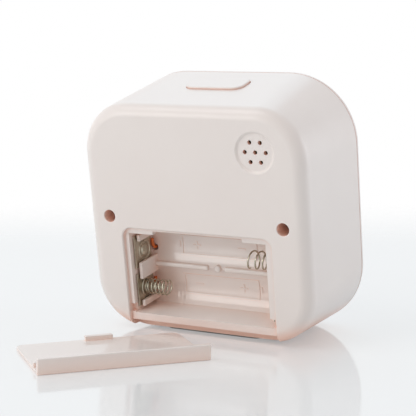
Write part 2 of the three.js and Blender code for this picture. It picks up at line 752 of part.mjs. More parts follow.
const doorBottom = undersideAt(backFace);
const doorHeight = openingTop - DOOR_GAP - doorBottom;
const doorHalf = openingHalf - DOOR_GAP;
const flangeFoot = undersideAt(-FLANGE_DEPTH);
const lugInner = bayEnd + SEAT_GAP;

// Everything that the door's opening takes out of the housing
function doorCuts() {
  const step = backFace - FLANGE_DEPTH - DOOR_GAP;
  const beyond = backFace + WALL;
  const easeStart = backFace - OPENING_EASE;
  const below = undersideAt(ledge) - WALL;
  const roof = FLANGE_THICK + FLANGE_GAP;
  const pocket = polygon([
    [step, undersideAt(step) - WALL],
    [beyond, undersideAt(beyond) - WALL],
    [beyond, undersideAt(beyond) + roof],
    [step, undersideAt(step) + roof],
  ]);
  const latchHalf = LATCH_WIDTH / 2 + DOOR_GAP;
  const noseDeep = backFace - DOOR_THICK - LATCH_RISE - SEAT_GAP;
  const noseBack = noseDeep + LATCH_NOSE_THICK + 2 * SEAT_GAP;
  const noseTop = doorBottom + doorHeight - LATCH_SET + LATCH_NOSE + SEAT_GAP;
  const lugDeep = backFace - DOOR_THICK - LUG_LENGTH - DOOR_GAP;
  const lugBottom = doorBottom + LUG_RISE - DOOR_GAP;
  const lugTop = doorBottom + LUG_RISE + LUG_HEIGHT + DOOR_GAP;
  return [
    skin([
      openingRing(ledge, 0, below),
      ...easedEdge(OPENING_EASE).map(([out, wider]) => openingRing(easeStart + out, -wider, below)),
      openingRing(beyond, -OPENING_EASE, below),
    ]),
    bar(pocket, -openingHalf, openingHalf),
    block(-latchHalf, latchHalf, noseDeep, noseBack, bayTop - PAST, noseTop),
    block(bayEnd - PAST, openingHalf, lugDeep, ledge + PAST, lugBottom, lugTop),
    block(-openingHalf, PAST - bayEnd, lugDeep, ledge + PAST, lugBottom, lugTop),
  ];
}

// Rear housing: deep tapered shell with the battery bay, door opening, pillars and top posts moulded in
function rearHousing() {
  const outer = skin([
    bodyRing(parting + SEAT_GAP, 0),
    bodyRing(roundStart, 0),
    ...roundedRings(roundStart, BACK_ROUND, 0, 1),
  ]);
  const hollow = skin([
    bodyRing(parting, WALL),
    bodyRing(roundStart, WALL),
    ...roundedRings(roundStart, BACK_ROUND - WALL, WALL, 1),
  ]);
  const tubHalf = bayEnd + BAY_WALL;
  const tub = block(-tubHalf, tubHalf, bayDeep - BAY_WALL, backFace, bayFloor - BAY_WALL, bayTop + BAY_WALL);
  const mouthHalf = openingHalf + BAY_WALL;
  const mouthFront = backFace - FLANGE_DEPTH - DOOR_GAP - BAY_WALL;
  const mouthTop = openingTop + BAY_WALL;
  const mouth = block(-mouthHalf, mouthHalf, mouthFront, backFace, undersideAt(mouthFront), mouthTop);
  const pillarRoot = backFace - WALL / 2;
  const pillars = screwPlaces.map((x) => rod(x, SCREW_HEIGHT, PILLAR_DIAMETER, pillarEnd, pillarRoot));
  const topPosts = [-topPostX, topPostX].map(
    (x) => moved(rod(x, 0, TOP_POST, WALL / 2, topBoardFront - SEAT_GAP), topFrame),
  );
  const shell = outer.subtract(hollow);
  const frame = tub.add(mouth).intersect(outer);
  const filled = joined([shell, frame, ...pillars, ...topPosts, sounderRing()]);
  const wide = 2 * SEAT_GAP;
  const padCorner = PAD_CORNER + SEAT_GAP;
  const padRecess = plate(PAD_WIDTH + wide, PAD_LENGTH + wide, padCorner, -PAST, PAD_THICK + SEAT_GAP);
  const padFrame = leanFrame.clone().invert().multiply(new THREE.Matrix4().makeRotationX(Math.PI / 2));
  const hole = SCREW_DIAMETER + wide;
  const open = cut(filled, [
    bar(bayProfile(), -bayEnd, bayEnd, CRADLE_STEPS),
    ...doorCuts(),
    ...soundCuts(),
    ...leadHoles(),
    ...screwPlaces.map((x) => rod(x, SCREW_HEIGHT, WELL_DIAMETER, wellFloor, backFace + PAST)),
    ...screwPlaces.map((x) => rod(x, SCREW_HEIGHT, hole, pillarEnd - PAST, wellFloor + PAST, HOLE_SIDES)),
    moved(buttonHole(barSize, WALL), topFrame),
    ...[-topPostX, topPostX].map((x) => moved(
      rod(x, 0, boardScrewHole, topBoardBack - BOARD_SCREW_LENGTH - SEAT_GAP, topBoardFront, HOLE_SIDES),
      topFrame,
    )),
    moved(padRecess, padFrame),
  ]);
  return joined([open, ...contactClips(), ...bayLips(), ...bayRidge()]);
}

// Battery door in its own frame: outer bottom edge at the origin, +Y outwards, +Z up the back
function batteryDoor() {
  const panelRing = (depth, edge) => openingRing(backFace + depth, DOOR_GAP, doorBottom + edge, edge);
  const panel = skin([
    panelRing(-DOOR_THICK, 0),
    ...easedEdge(DOOR_EDGE).map(([out, inset]) => panelRing(out - DOOR_EDGE, inset)),
  ]);
  const flange = bar(polygon([
    [-DOOR_EDGE, 0],
    [0, DOOR_EDGE],
    [0, FLANGE_THICK],
    [-FLANGE_DEPTH, flangeFoot + FLANGE_THICK],
    [-FLANGE_DEPTH, flangeFoot],
  ]), -doorHalf, doorHalf);
  const inside = -DOOR_THICK;
  const root = inside / 2;
  const lugs = [[lugInner, doorHalf], [-doorHalf, -lugInner]].map(
    ([x0, x1]) => block(x0, x1, inside - LUG_LENGTH, root, LUG_RISE, LUG_RISE + LUG_HEIGHT),
  );
  const half = LATCH_WIDTH / 2;
  const hook = inside - LATCH_RISE;
  const latchTop = doorHeight - LATCH_SET;
  const latch = block(-half, half, hook, root, latchTop - LATCH_DEPTH, latchTop);
  const noseTop = latchTop + LATCH_NOSE;
  const nose = block(-half, half, hook, hook + LATCH_NOSE_THICK, latchTop - LATCH_DEPTH, noseTop);
  return joined([shifted(panel, 0, -backFace, -doorBottom), flange, ...lugs, latch, nose]);
}

// A contact plate at one end of the bay, with a dimple where a cell's positive end meets it
function contactPlate(side, bottom, top, dimpleHeight) {
  const outer = contactFace + CONTACT_THICK;
  const [x0, x1] = side > 0 ? [contactFace, outer] : [-outer, -contactFace];
  const sheet = block(x0, x1, contactDeep, contactEdge, bottom, top);
  if (dimpleHeight === null) return sheet;
  const bump = dome(DIMPLE_DIAMETER, DIMPLE_RISE + CONTACT_THICK / 2);
  const foot = side * (contactFace + CONTACT_THICK / 2);
  const inwards = new THREE.Matrix4().makeRotationZ(side * (Math.PI / 2));
  return sheet.add(moved(bump, inwards.setPosition(foot, cellAxis, dimpleHeight)));
}

// Centre line of a coil spring on a contact: straight ends, with a helix between
function springLine(side, height, diameter, pitch, turns) {
  const radius = (diameter - SPRING_WIRE) / 2;
  const start = contactFace - SEAT_GAP;
  const points = [];
  const place = (reach, angle) => points.push(new THREE.Vector3(
    side * (start - reach),
    cellAxis + radius * Math.sin(angle),
    height + radius * Math.cos(angle),
  ));
  const steps = Math.round(turns * CURL_STEPS);
  place(0, 0);
  for (let k = 0; k <= steps; k += 1) {
    place(SPRING_WIRE + (pitch * k) / CURL_STEPS, (2 * Math.PI * k) / CURL_STEPS);
  }
  place(2 * SPRING_WIRE + (pitch * steps) / CURL_STEPS, (2 * Math.PI * steps) / CURL_STEPS);
  return points;
}

// Least gap of a wire to itself, between points more than half a curl apart
function leastGap(points, diameter) {
  let least = Infinity;
  for (let i = 0; i < points.length; i += 1) {
    for (let j = i + CURL_STEPS / 2 + 1; j < points.length; j += 1) {
      least = Math.min(least, points[i].distanceTo(points[j]) - diameter);
    }
  }
  return least;
}

// One coil spring, with its least gap printed
function spring(name, side, height, diameter, pitch, turns) {
  const line = springLine(side, height, diameter, pitch, turns);
  console.log(`${name}: least gap to itself ${leastGap(line, SPRING_WIRE).toFixed(2)} mm`);
  return piece(name, wire(line, SPRING_WIRE, WIRE_SIDES), NICKEL);
}

// A holder for the display glass, with a slot for the contact strip and a window for light
function lcdHolder(stripBottom) {
  const back = boardFront - SEAT_GAP;
  const z = displayHeight;
  const glassHalf = [GLASS_WIDTH / 2 + SEAT_GAP, GLASS_HEIGHT / 2 + SEAT_GAP];
  const bottom = z - holderHalfHeight;
  const frame = block(-holderHalfWidth, holderHalfWidth, glassFront, back, bottom, z + holderHalfHeight);
  const stripHalf = GLASS_WIDTH / 2 - STRIP_MARGIN + SEAT_GAP;
  const stripTop = stripBottom + STRIP_THICK + SEAT_GAP;
  const lightHalf = GLASS_WIDTH / 2 - HOLDER_WINDOW_MARGIN;
  const lightTop = z + GLASS_HEIGHT / 2 - HOLDER_WINDOW_MARGIN;
  return cut(frame, [
    block(-glassHalf[0], glassHalf[0], glassFront - PAST, stripFront, z - glassHalf[1], z + glassHalf[1]),
    block(-stripHalf, stripHalf, glassFront, boardFront, stripBottom - SEAT_GAP, stripTop),
    block(-lightHalf, lightHalf, glassFront, boardFront, stripTop + HOLDER_WALL, lightTop),
  ]);
}

// A circuit board with a hole for each screw
function circuitBoard(halfWidth, y0, y1, bottom, top, holes) {
  const sheet = plate(2 * halfWidth, top - bottom, BOARD_CORNER, y0, y1);
  const board = shifted(sheet, 0, 0, (bottom + top) / 2);
  return cut(board, holes.map(([x, z]) => rod(x, z, boardScrewHole, y0 - PAST, y1 + PAST, HOLE_SIDES)));
}

const timer = new THREE.Group();
const leaning = new THREE.Group();
leaning.rotation.x = -LEAN;
leaning.position.z = PAD_PROUD;
timer.add(leaning);

// Housing and the pieces that close it
leaning.add(piece('rear_housing', rearHousing(), PALE_PINK));
leaning.add(piece('front_panel', frontPanel(), PALE_PINK));
const windowPane = plate(windowWidth, windowHeight, WINDOW_CORNER, 0, WINDOW_THICK, DOOR_EDGE);
leaning.add(piece('display_window', windowPane, CLEAR, [0, faceFront, displayHeight]));
screwPlaces.forEach((x, i) => {
  const fastener = screw(SCREW_DIAMETER, SCREW_LENGTH, SCREW_HEAD, SCREW_HEAD_HEIGHT);
  const name = `housing_screw_${i === 0 ? 'right' : 'left'}`;
  leaning.add(piece(name, fastener, STEEL, [x, wellFloor + SEAT_GAP, SCREW_HEIGHT]));
});
const pad = piece('base_pad', plate(PAD_WIDTH, PAD_LENGTH, PAD_CORNER, 0, PAD_THICK), GREY_RUBBER);
pad.rotation.x = Math.PI / 2;
timer.add(pad);

// Display stack and main board
const stripBottom = displayHeight - GLASS_HEIGHT / 2 + STRIP_MARGIN;
const stripHalf = GLASS_WIDTH / 2 - STRIP_MARGIN;
const glass = block(-GLASS_WIDTH / 2, GLASS_WIDTH / 2, glassFront, glassFront + GLASS_THICK,
  displayHeight - GLASS_HEIGHT / 2, displayHeight + GLASS_HEIGHT / 2);
const stripBack = stripFront + STRIP_DEPTH;
const strip = block(-stripHalf, stripHalf, stripFront, stripBack, stripBottom, stripBottom + STRIP_THICK);
const boardBottom = postBottom - BOARD_MARGIN;
const board = circuitBoard(boardHalf, boardFront, boardBack, boardBottom, boardTop, postPlaces);
leaning.add(piece('lcd_glass', glass, LCD_GREY));
leaning.add(piece('lcd_holder', lcdHolder(stripBottom), WHITE_PLASTIC));
leaning.add(piece('contact_strip', strip, GREY_RUBBER));
leaning.add(piece('main_board', board, BOARD_GREEN));
postPlaces.forEach(([x, z], i) => {
  const fastener = screw(BOARD_SCREW_DIAMETER, BOARD_SCREW_LENGTH, BOARD_SCREW_HEAD, BOARD_SCREW_HEAD_HEIGHT);
  leaning.add(piece(`board_screw_${i + 1}`, fastener, STEEL, [x, boardBack + SEAT_GAP, z]));
});

// Small pieces on the back of the board
const onBoard = boardBack + SEAT_GAP;
const cover = dome(CHIP_DIAMETER, CHIP_RISE);
leaning.add(piece('chip_cover', cover, BLACK_RESIN, [0, onBoard, chipHeight]));
const canHalf = CRYSTAL_LENGTH / 2;
const can = rod(0, 0, CRYSTAL_DIAMETER, -canHalf, canHalf, HOLE_SIDES);
const canPlace = [CRYSTAL_OFFSET, onBoard + CRYSTAL_DIAMETER / 2, chipHeight];
const crystal = piece('crystal', can, NICKEL, canPlace);
crystal.rotation.z = Math.PI / 2;
leaning.add(crystal);
const capacitor = rod(0, 0, CAPACITOR_DIAMETER, 0, CAPACITOR_LENGTH);
leaning.add(piece('capacitor', capacitor, BLACK_PLASTIC, [-CAPACITOR_OFFSET, onBoard, chipHeight]));

// Three front keys, each with its plunger and switch
keyPlaces.forEach((x, i) => {
  const place = [x, faceFront, keyRow];
  const side = keySides[i];
  const cap = buttonCap(keySize, PANEL_WALL, keySwitchFront);
  leaning.add(piece(`key_${side}`, cap, WHITE_PLASTIC, place));
  leaning.add(piece(`key_plunger_${side}`, switchPlunger(keySwitchFront), BLACK_PLASTIC, place));
  leaning.add(piece(`key_switch_${side}`, switchBody(keySwitchFront), STEEL, place));
});

// Top bar button with its switch and board, square to the sloping top
const sloping = new THREE.Group();
sloping.position.set(0, barDepthPlace, topAt(barDepthPlace));
sloping.rotation.x = -(Math.PI / 2 + topSlope);
leaning.add(sloping);
sloping.add(piece('top_bar', buttonCap(barSize, WALL, barSwitchFront), PALE_PINK));
sloping.add(piece('top_plunger', switchPlunger(barSwitchFront), BLACK_PLASTIC));
sloping.add(piece('top_switch', switchBody(barSwitchFront), STEEL));
const topBoardHalf = topPostX + TOP_POST / 2 + TOP_BOARD_MARGIN;
const topHoles = [[-topPostX, 0], [topPostX, 0]];
const topHalf = TOP_BOARD_DEPTH / 2;
const topBoard = circuitBoard(topBoardHalf, topBoardFront, topBoardBack, -topHalf, topHalf, topHoles);
sloping.add(piece('top_board', topBoard, BOARD_GREEN));
topHoles.forEach(([x], i) => {
  const fastener = screw(BOARD_SCREW_DIAMETER, BOARD_SCREW_LENGTH, BOARD_SCREW_HEAD, BOARD_SCREW_HEAD_HEIGHT);
  const name = `top_board_screw_${i === 0 ? 'right' : 'left'}`;
  sloping.add(piece(name, fastener, STEEL, [x, topBoardBack + SEAT_GAP, 0]));
});

// Sounder in its ring behind the sound holes
const disc = rod(soundX, soundHeight, SOUNDER_DIAMETER, sounderBack - SOUNDER_THICK, sounderBack);
leaning.add(piece('sounder_plate', disc, BRASS));
const ceramic = rod(soundX, soundHeight, CERAMIC_DIAMETER, ceramicBack - CERAMIC_THICK, ceramicBack);
leaning.add(piece('sounder_ceramic', ceramic, CERAMIC));

// Battery contacts: dimple above and spring below at one end, joined the other way round at the other
const upperContact = upperCellHeight - UPPER_CONTACT_DROP;
leaning.add(piece('contact_positive', contactPlate(1, ...upperPlate, upperContact), NICKEL));
leaning.add(piece('contact_negative', contactPlate(1, ...lowerPlate, null), NICKEL));
const bridge = contactPlate(-1, lowerPlate[0], upperPlate[1], LOWER_CELL_HEIGHT);
leaning.add(piece('contact_bridge', bridge, NICKEL));
leaning.add(spring('spring_negative', 1, LOWER_CELL_HEIGHT, TIGHT_DIAMETER, TIGHT_PITCH, TIGHT_TURNS));
leaning.add(spring('spring_bridge', -1, upperContact, WIDE_DIAMETER, WIDE_PITCH, WIDE_TURNS));

// Battery leads: down the plate's deep edge, out through the hole and across to the board
const leadNames = ['lead_negative', 'lead_positive'];
[LOWER_CELL_HEIGHT, upperCellHeight].forEach((z, i) => {
  const hole = z - leadDrop;
  const boardX = boardHalf - 2 * BOARD_MARGIN;
  const line = lead([
    [leadX, leadDepth, hole + LEAD_RUN],
    [leadX, leadDepth, hole + LEAD_RUN / 2],
    [leadX, (leadDepth + bayDeep) / 2, hole + SEAT_GAP],
    [leadX, bayDeep - BAY_WALL, hole],
    [leadX, bayDeep - 3 * BAY_WALL, hole],
    [(leadX + boardX) / 2, (bayDeep + boardBack) / 2, z],
    [boardX, boardBack + 3 * LEAD_DIAMETER, z + LEAD_RUN],
    [boardX, onBoard, z + LEAD_RUN],
  ], LEAD_DIAMETER);
  leaning.add(piece(leadNames[i], line, ORANGE_LEAD));
});

// Sounder leads: one from the ceramic, one from the plate's rim, both to the board
const sounderEnds = [
  ['lead_sounder_inner', 0, ceramicBack - CERAMIC_THICK - SEAT_GAP],
  ['lead_sounder_outer', (SOUNDER_DIAMETER + CERAMIC_DIAMETER) / 4, sounderBack - SOUNDER_THICK - SEAT_GAP],
];
sounderEnds.forEach(([name, drop, depth], i) => {
  const z = soundHeight - drop;
  const x = soundX + (2 + i) * BOARD_MARGIN;
  const landing = displayHeight - 2 * i * BOARD_MARGIN;
  const line = lead([
    [soundX, depth, z],
    [soundX, depth - 3 * FINE_LEAD_DIAMETER, z],
    [soundX + BOARD_MARGIN, (depth + boardBack) / 2, (z + landing) / 2],
    [x, boardBack + 4 * FINE_LEAD_DIAMETER, landing],
    [x, onBoard, landing],
  ], FINE_LEAD_DIAMETER);
  leaning.add(piece(name, line, i === 0 ? ORANGE_LEAD : BLACK_LEAD));
});

// Top switch leads: from under the top board down to the main board
['lead_switch_right', 'lead_switch_left'].forEach((name, i) => {
  const x = (i === 0 ? -1 : 1) * SWITCH_SIZE;
  const from = new THREE.Vector3(x, topBoardBack + SEAT_GAP, 0).applyMatrix4(topFrame);
  const below = new THREE.Vector3(x, topBoardBack + 4 * FINE_LEAD_DIAMETER, 0).applyMatrix4(topFrame);
  const end = below.z - 3 * BOARD_MARGIN;
  const line = lead([
    from.toArray(),
    below.toArray(),
    [x, (below.y + boardBack) / 2, end],
    [x, onBoard, end],
  ], FINE_LEAD_DIAMETER);
  leaning.add(piece(name, line, BLACK_LEAD));
});

// Battery door on the table behind the timer: it lies on its outer face, with its flange standing up
const doorSpot = new THREE.Group();
doorSpot.position.set(DOOR_SPOT_X, DOOR_SPOT_Y, 0);
doorSpot.rotation.z = DOOR_TURN;
const door = piece('battery_door', batteryDoor(), PALE_PINK);
door.rotation.x = -Math.PI / 2;
doorSpot.add(door);
timer.add(doorSpot);

export default timer;
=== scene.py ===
"""A digital kitchen timer seen from behind, with its battery door off and lying beside it.

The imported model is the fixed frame. A piece is modelled in millimetres in the frame of the leaning
body (X across, Y from the face to the back, Z up the body), and is then set into the frame in metres.
"""
import json
import logging
import math
from abc import ABC, abstractmethod
from contextlib import contextmanager
from dataclasses import dataclass
from enum import Enum
from typing import Callable, Iterator, Sequence

import bmesh
import bpy
from mathutils import Matrix, Vector


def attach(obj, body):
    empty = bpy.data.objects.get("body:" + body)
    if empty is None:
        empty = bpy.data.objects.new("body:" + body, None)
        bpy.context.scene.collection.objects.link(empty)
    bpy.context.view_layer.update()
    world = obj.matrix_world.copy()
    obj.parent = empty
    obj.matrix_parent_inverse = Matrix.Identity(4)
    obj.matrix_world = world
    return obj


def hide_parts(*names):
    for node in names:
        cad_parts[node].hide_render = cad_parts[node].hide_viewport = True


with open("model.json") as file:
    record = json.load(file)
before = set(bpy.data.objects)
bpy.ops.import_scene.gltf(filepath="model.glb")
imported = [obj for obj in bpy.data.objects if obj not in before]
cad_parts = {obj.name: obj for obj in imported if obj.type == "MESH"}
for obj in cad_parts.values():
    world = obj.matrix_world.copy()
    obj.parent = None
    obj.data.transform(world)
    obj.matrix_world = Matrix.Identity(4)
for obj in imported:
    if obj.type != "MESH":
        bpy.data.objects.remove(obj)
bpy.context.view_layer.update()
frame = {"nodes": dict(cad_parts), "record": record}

# A millimetre in metres, then in millimetres what counts as no distance, and a cutter's reach past a face
MM = 0.001
TINY = 1e-3
PAST = 1.0

# A quarter turn, a clear corner, what still counts as flat, and the shading limit on round wire in degrees
QUARTER = math.pi / 2
SHARP = math.radians(50)
FLAT = math.radians(0.2)
ROUND_DEGREES = 60.0

# Steps in a plate's round corner, and sides of the large round cutters
PLATE_STEPS = 10
BARREL_SIDES = 160

# The photograph's width and the camera's sensor
PIXELS = 416
SENSOR = 36.0

Piece = bpy.types.Object
Node = bpy.types.Node
Socket = str | int
Colour = tuple[float, float, float]
Point = tuple[float, float, float]

log = logging.getLogger("timer")


class Pick(Enum):
    """What a selection in edit mode is made of."""

    VERTS = "VERT"
    EDGES = "EDGE"
    FACES = "FACE"


class How(Enum):
    """How one solid acts on another."""

    ADD = "UNION"
    CUT = "DIFFERENCE"
    KEEP = "INTERSECT"


class Body(Enum):
    """The bodies of the frame that pieces ride on."""

    CASE = "case"
    LEFT_KEY = "left_key"
    MIDDLE_KEY = "middle_key"
    RIGHT_KEY = "right_key"
    TOP_BUTTON = "top_button"
    DOOR = "door"


@dataclass(frozen=True)
class Ring:
    """A rectangle with round corners that stands in X and Z at a depth, in millimetres."""

    half: float
    bottom: float
    top: float
    corner: float
    depth: float


def only(piece: Piece) -> None:
    """Make a piece the only selected object, and the active one.

    Args:
        piece: the piece.
    """
    bpy.ops.object.select_all(action="DESELECT")
    piece.select_set(True)
    bpy.context.view_layer.objects.active = piece


@contextmanager
def editing(piece: Piece) -> Iterator[None]:
    """Edit mode on one piece, with nothing selected at first.

    Args:
        piece: the piece.
    """
    only(piece)
    bpy.ops.object.mode_set(mode="EDIT")
    bpy.ops.mesh.select_all(action="DESELECT")
    yield
    bpy.ops.object.mode_set(mode="OBJECT")


def pick(piece: Piece, kind: Pick, test: Callable[..., bool]) -> int:
    """Select, in edit mode, the parts of a mesh that pass a test.

    Args:
        piece: the piece that is being edited.
        kind: whether vertices, edges or faces are tested.
        test: says whether one of them is selected.

    Returns:
        How many were selected.
    """
    bpy.ops.mesh.select_mode(type=kind.value)
    bpy.ops.mesh.select_all(action="DESELECT")
    mesh = bmesh.from_edit_mesh(piece.data)
    parts = {Pick.VERTS: mesh.verts, Pick.EDGES: mesh.edges, Pick.FACES: mesh.faces}[kind]
    chosen = [part for part in parts if test(part)]
    for part in chosen:
        part.select_set(True)
    bmesh.update_edit_mesh(piece.data)
    return len(chosen)


def settled(name: str, scale: Point = (1.0, 1.0, 1.0)) -> Piece:
    """Name the primitive that was just added and apply its place, turn and scale.

    Args:
        name: the new piece's name.
        scale: its size along each of its own axes.

    Returns:
        The piece.
    """
    piece = bpy.context.active_object
    piece.name = name
    piece.data.name = name
    piece.scale = scale
    only(piece)
    bpy.ops.object.transform_apply(location=True, rotation=True, scale=True)
    return piece


def merged(name: str, pieces: Sequence[Piece]) -> Piece:
    """Join several objects into one.

    Args:
        name: the name that the one gets.
        pieces: the objects, of which the first is kept.

    Returns:
        The joined piece.
    """
    only(pieces[0])
    for piece in pieces:
        piece.select_set(True)
    if len(pieces) > 1:
        bpy.ops.object.join()
    pieces[0].name = name
    return pieces[0]


def outline(ring: Ring, steps: int) -> Piece:
    """A flat face in the shape of a ring.

    Args:
        ring: its size and place.
        steps: steps in each round corner.

    Returns:
        The flat piece.
    """
    bpy.ops.object.select_all(action="DESELECT")
    middle = (ring.bottom + ring.top) / 2
    bpy.ops.mesh.primitive_plane_add(size=1, location=(0, ring.depth, middle), rotation=(QUARTER, 0, 0))
    plane = settled("outline", (2 * ring.half, ring.top - ring.bottom, 1))
    with editing(plane):
        bpy.ops.mesh.select_all(action="SELECT")
        bpy.ops.mesh.bevel(offset=ring.corner, segments=steps, affect="VERTICES", clamp_overlap=False)
    return plane


def loft(name: str, rings: Sequence[Ring], steps: int = 12) -> Piece:
    """A closed skin over rings that stand one behind another.

    Args:
        name: the piece's name.
        rings: the rings, each at a depth of its own.
        steps: steps in each round corner.

    Returns:
        The closed piece.
    """
    piece = merged(name, [outline(ring, steps) for ring in rings])

    def at(edge: bmesh.types.BMEdge, depth: float) -> bool:
        """Whether an edge lies in the ring at a depth."""
        return all(abs(vert.co.y - depth) < TINY for vert in edge.verts)

    with editing(piece):
        bpy.ops.mesh.select_all(action="SELECT")
        bpy.ops.mesh.delete(type="ONLY_FACE")
        for near, far in zip(rings, rings[1:]):
            pick(piece, Pick.EDGES, lambda edge: at(edge, near.depth) or at(edge, far.depth))
            bpy.ops.mesh.bridge_edge_loops()
        for end in (rings[0], rings[-1]):
            pick(piece, Pick.EDGES, lambda edge: at(edge, end.depth))
            bpy.ops.mesh.edge_face_add()
        bpy.ops.mesh.select_all(action="SELECT")
        bpy.ops.mesh.normals_make_consistent(inside=False)
    return piece


def soften(piece: Piece, test: Callable[[bmesh.types.BMEdge], bool], width: float, steps: int = 3) -> int:
    """Round the edges of a piece that pass a test.

    Args:
        piece: the piece.
        test: says whether an edge is rounded.
        width: how far the rounding reaches from the edge, in millimetres.
        steps: steps across the rounding.

    Returns:
        How many edges were rounded.
    """
    with editing(piece):
        count = pick(piece, Pick.EDGES, test)
        if count:
            bpy.ops.mesh.bevel(offset=width, segments=steps, affect="EDGES", clamp_overlap=True)
    return count


def sharp(edge: bmesh.types.BMEdge) -> bool:
    """Whether two faces meet at an edge with a clear outward corner."""
    return len(edge.link_faces) == 2 and edge.calc_face_angle_signed(0.0) > SHARP


def box(name: str, low: Point, high: Point, edge: float = 0.0) -> Piece:
    """A block between two corners, with its edges rounded.

    Args:
        name: the piece's name.
        low: its lowest corner.
        high: its highest corner.
        edge: the rounding of its edges, none if zero.

    Returns:
        The block.
    """
    bpy.ops.object.select_all(action="DESELECT")
    middle = [(a + b) / 2 for a, b in zip(low, high)]
    bpy.ops.mesh.primitive_cube_add(size=1, location=middle)
    piece = settled(name, tuple(b - a for a, b in zip(low, high)))
    if edge:
        soften(piece, lambda _: True, edge)
    return piece


def rod(name: str, x: float, z: float, diameter: float, y0: float, y1: float, sides: int = 48) -> Piece:
    """A round rod along Y.

    Args:
        name: the piece's name.
        x: its place across.
        z: its place up.
        diameter: its diameter.
        y0: where it starts.
        y1: where it ends.
        sides: how many sides make its round.

    Returns:
        The rod.
    """
    bpy.ops.object.select_all(action="DESELECT")
    bpy.ops.mesh.primitive_cylinder_add(
        vertices=sides,
        radius=diameter / 2,
        depth=y1 - y0,
        location=(x, (y0 + y1) / 2, z),
        rotation=(QUARTER, 0, 0),
    )
    return settled(name)


def barrel(name: str, radius: float, length: float, y: float, z: float) -> Piece:
    """A round bar along X, centred across the body.

    Args:
        name: the piece's name.
        radius: its radius.
        length: its length.
        y: the depth of its axis.
        z: the height of its axis.

    Returns:
        The bar.
    """
    bpy.ops.object.select_all(action="DESELECT")
    bpy.ops.mesh.primitive_cylinder_add(
        vertices=BARREL_SIDES,
        radius=radius,
        depth=length,
        location=(0, y, z),
        rotation=(0, QUARTER, 0),
    )
    return settled(name)


def combine(target: Piece, tool: Piece, how: How) -> Piece:
    """Let a tool act on a piece, and remove the tool.

    Args:
        target: the piece that is kept.
        tool: the piece that is used up.
        how: whether the tool is added, cut away or kept in common.

    Returns:
        The target.
    """
    only(target)
    bpy.ops.object.modifier_add(type="BOOLEAN")
    modifier = target.modifiers[-1]
    modifier.operation = how.value
    modifier.solver = "EXACT"
    modifier.object = tool
    bpy.ops.object.modifier_apply(modifier=modifier.name)
    bpy.data.objects.remove(tool)
    return target


def smooth(piece: Piece, degrees: float = 32.0) -> Piece:
    """Shade a piece smooth across its roundings and keep its flats flat.

    Args:
        piece: the piece.
        degrees: the angle past which an edge stays sharp.

    Returns:
        The piece.
    """
    only(piece)
    bpy.ops.object.shade_smooth_by_angle(angle=math.radians(degrees))
    bpy.ops.object.modifier_add(type="WEIGHTED_NORMAL")
    piece.modifiers[-1].keep_sharp = True
    bpy.ops.object.modifier_apply(modifier=piece.modifiers[-1].name)
    return piece


def copied(node: str, name: str) -> Piece:
    """A merged copy of a solid of the frame, still in metres.

    Args:
        node: the solid's name.
        name: the copy's name.

    Returns:
        The copy.
    """
    source = frame["nodes"][node]
    piece = bpy.data.objects.new(name, source.data.copy())
    bpy.context.scene.collection.objects.link(piece)
    with editing(piece):
        bpy.ops.mesh.select_all(action="SELECT")
        bpy.ops.mesh.remove_doubles(threshold=TINY * MM)
        bpy.ops.mesh.dissolve_limited(angle_limit=FLAT)
    return piece


def carried(piece: Piece, matrix: Matrix) -> Piece:
    """Carry a piece into another frame, with its place in its mesh.

    Args:
        piece: the piece.
        matrix: where the other frame puts it.

    Returns:
        The piece.
    """
    piece.matrix_world = matrix
    only(piece)
    bpy.ops.object.transform_apply(location=True, rotation=True, scale=True)
    return piece


def place(piece: Piece, matrix: Matrix) -> Piece:
    """Set a piece that was modelled in millimetres into the frame, with its place in its mesh."""
    return carried(piece, matrix @ Matrix.Scale(MM, 4))


def deliver(piece: Piece, finish: "Finish", body: Body, nodes: Sequence[str] = ()) -> Piece:
    """Dress a finished piece and hand it to the frame.

    Args:
        piece: the piece, in its place.
        finish: what its surface is.
        body: the body that it rides on.
        nodes: the solids that it stands for.

    Returns:
        The piece.
    """
    piece.data.materials.clear()
    piece.data.materials.append(finish.material())
    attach(piece, body.value)
    if nodes:
        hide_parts(*nodes)
    log.info("%s: %d faces, rides on %s", piece.name, len(piece.data.polygons), body.value)
    return piece


class NodeSet:
    """The nodes of a material or a world, with short ways to add and join them."""

    def __init__(self, tree: bpy.types.NodeTree) -> None:
        """Start with an empty tree.

        Args:
            tree: the tree that holds the nodes.
        """
        self.tree = tree
        self.tree.nodes.clear()

    def add(self, kind: str, **inputs: object) -> Node:
        """Add a node and set its inputs.

        Args:
            kind: the node's type.
            inputs: values by the inputs' names, with underscores for blanks.

        Returns:
            The node.
        """
        return self.put(self.tree.nodes.new(kind), **inputs)

    def put(self, node: Node, **inputs: object) -> Node:
        """Set a node's inputs to values that are the same all over.

        Args:
            node: the node.
            inputs: values by the inputs' names, with underscores for blanks.

        Returns:
            The node.
        """
        for name, value in inputs.items():
            node.inputs[name.replace("_", " ")].default_value = value
        return node

    def join(self, source: Node, out: Socket, target: Node, into: Socket) -> None:
        """Link an output to an input."""
        self.tree.links.new(source.outputs[out], target.inputs[into])


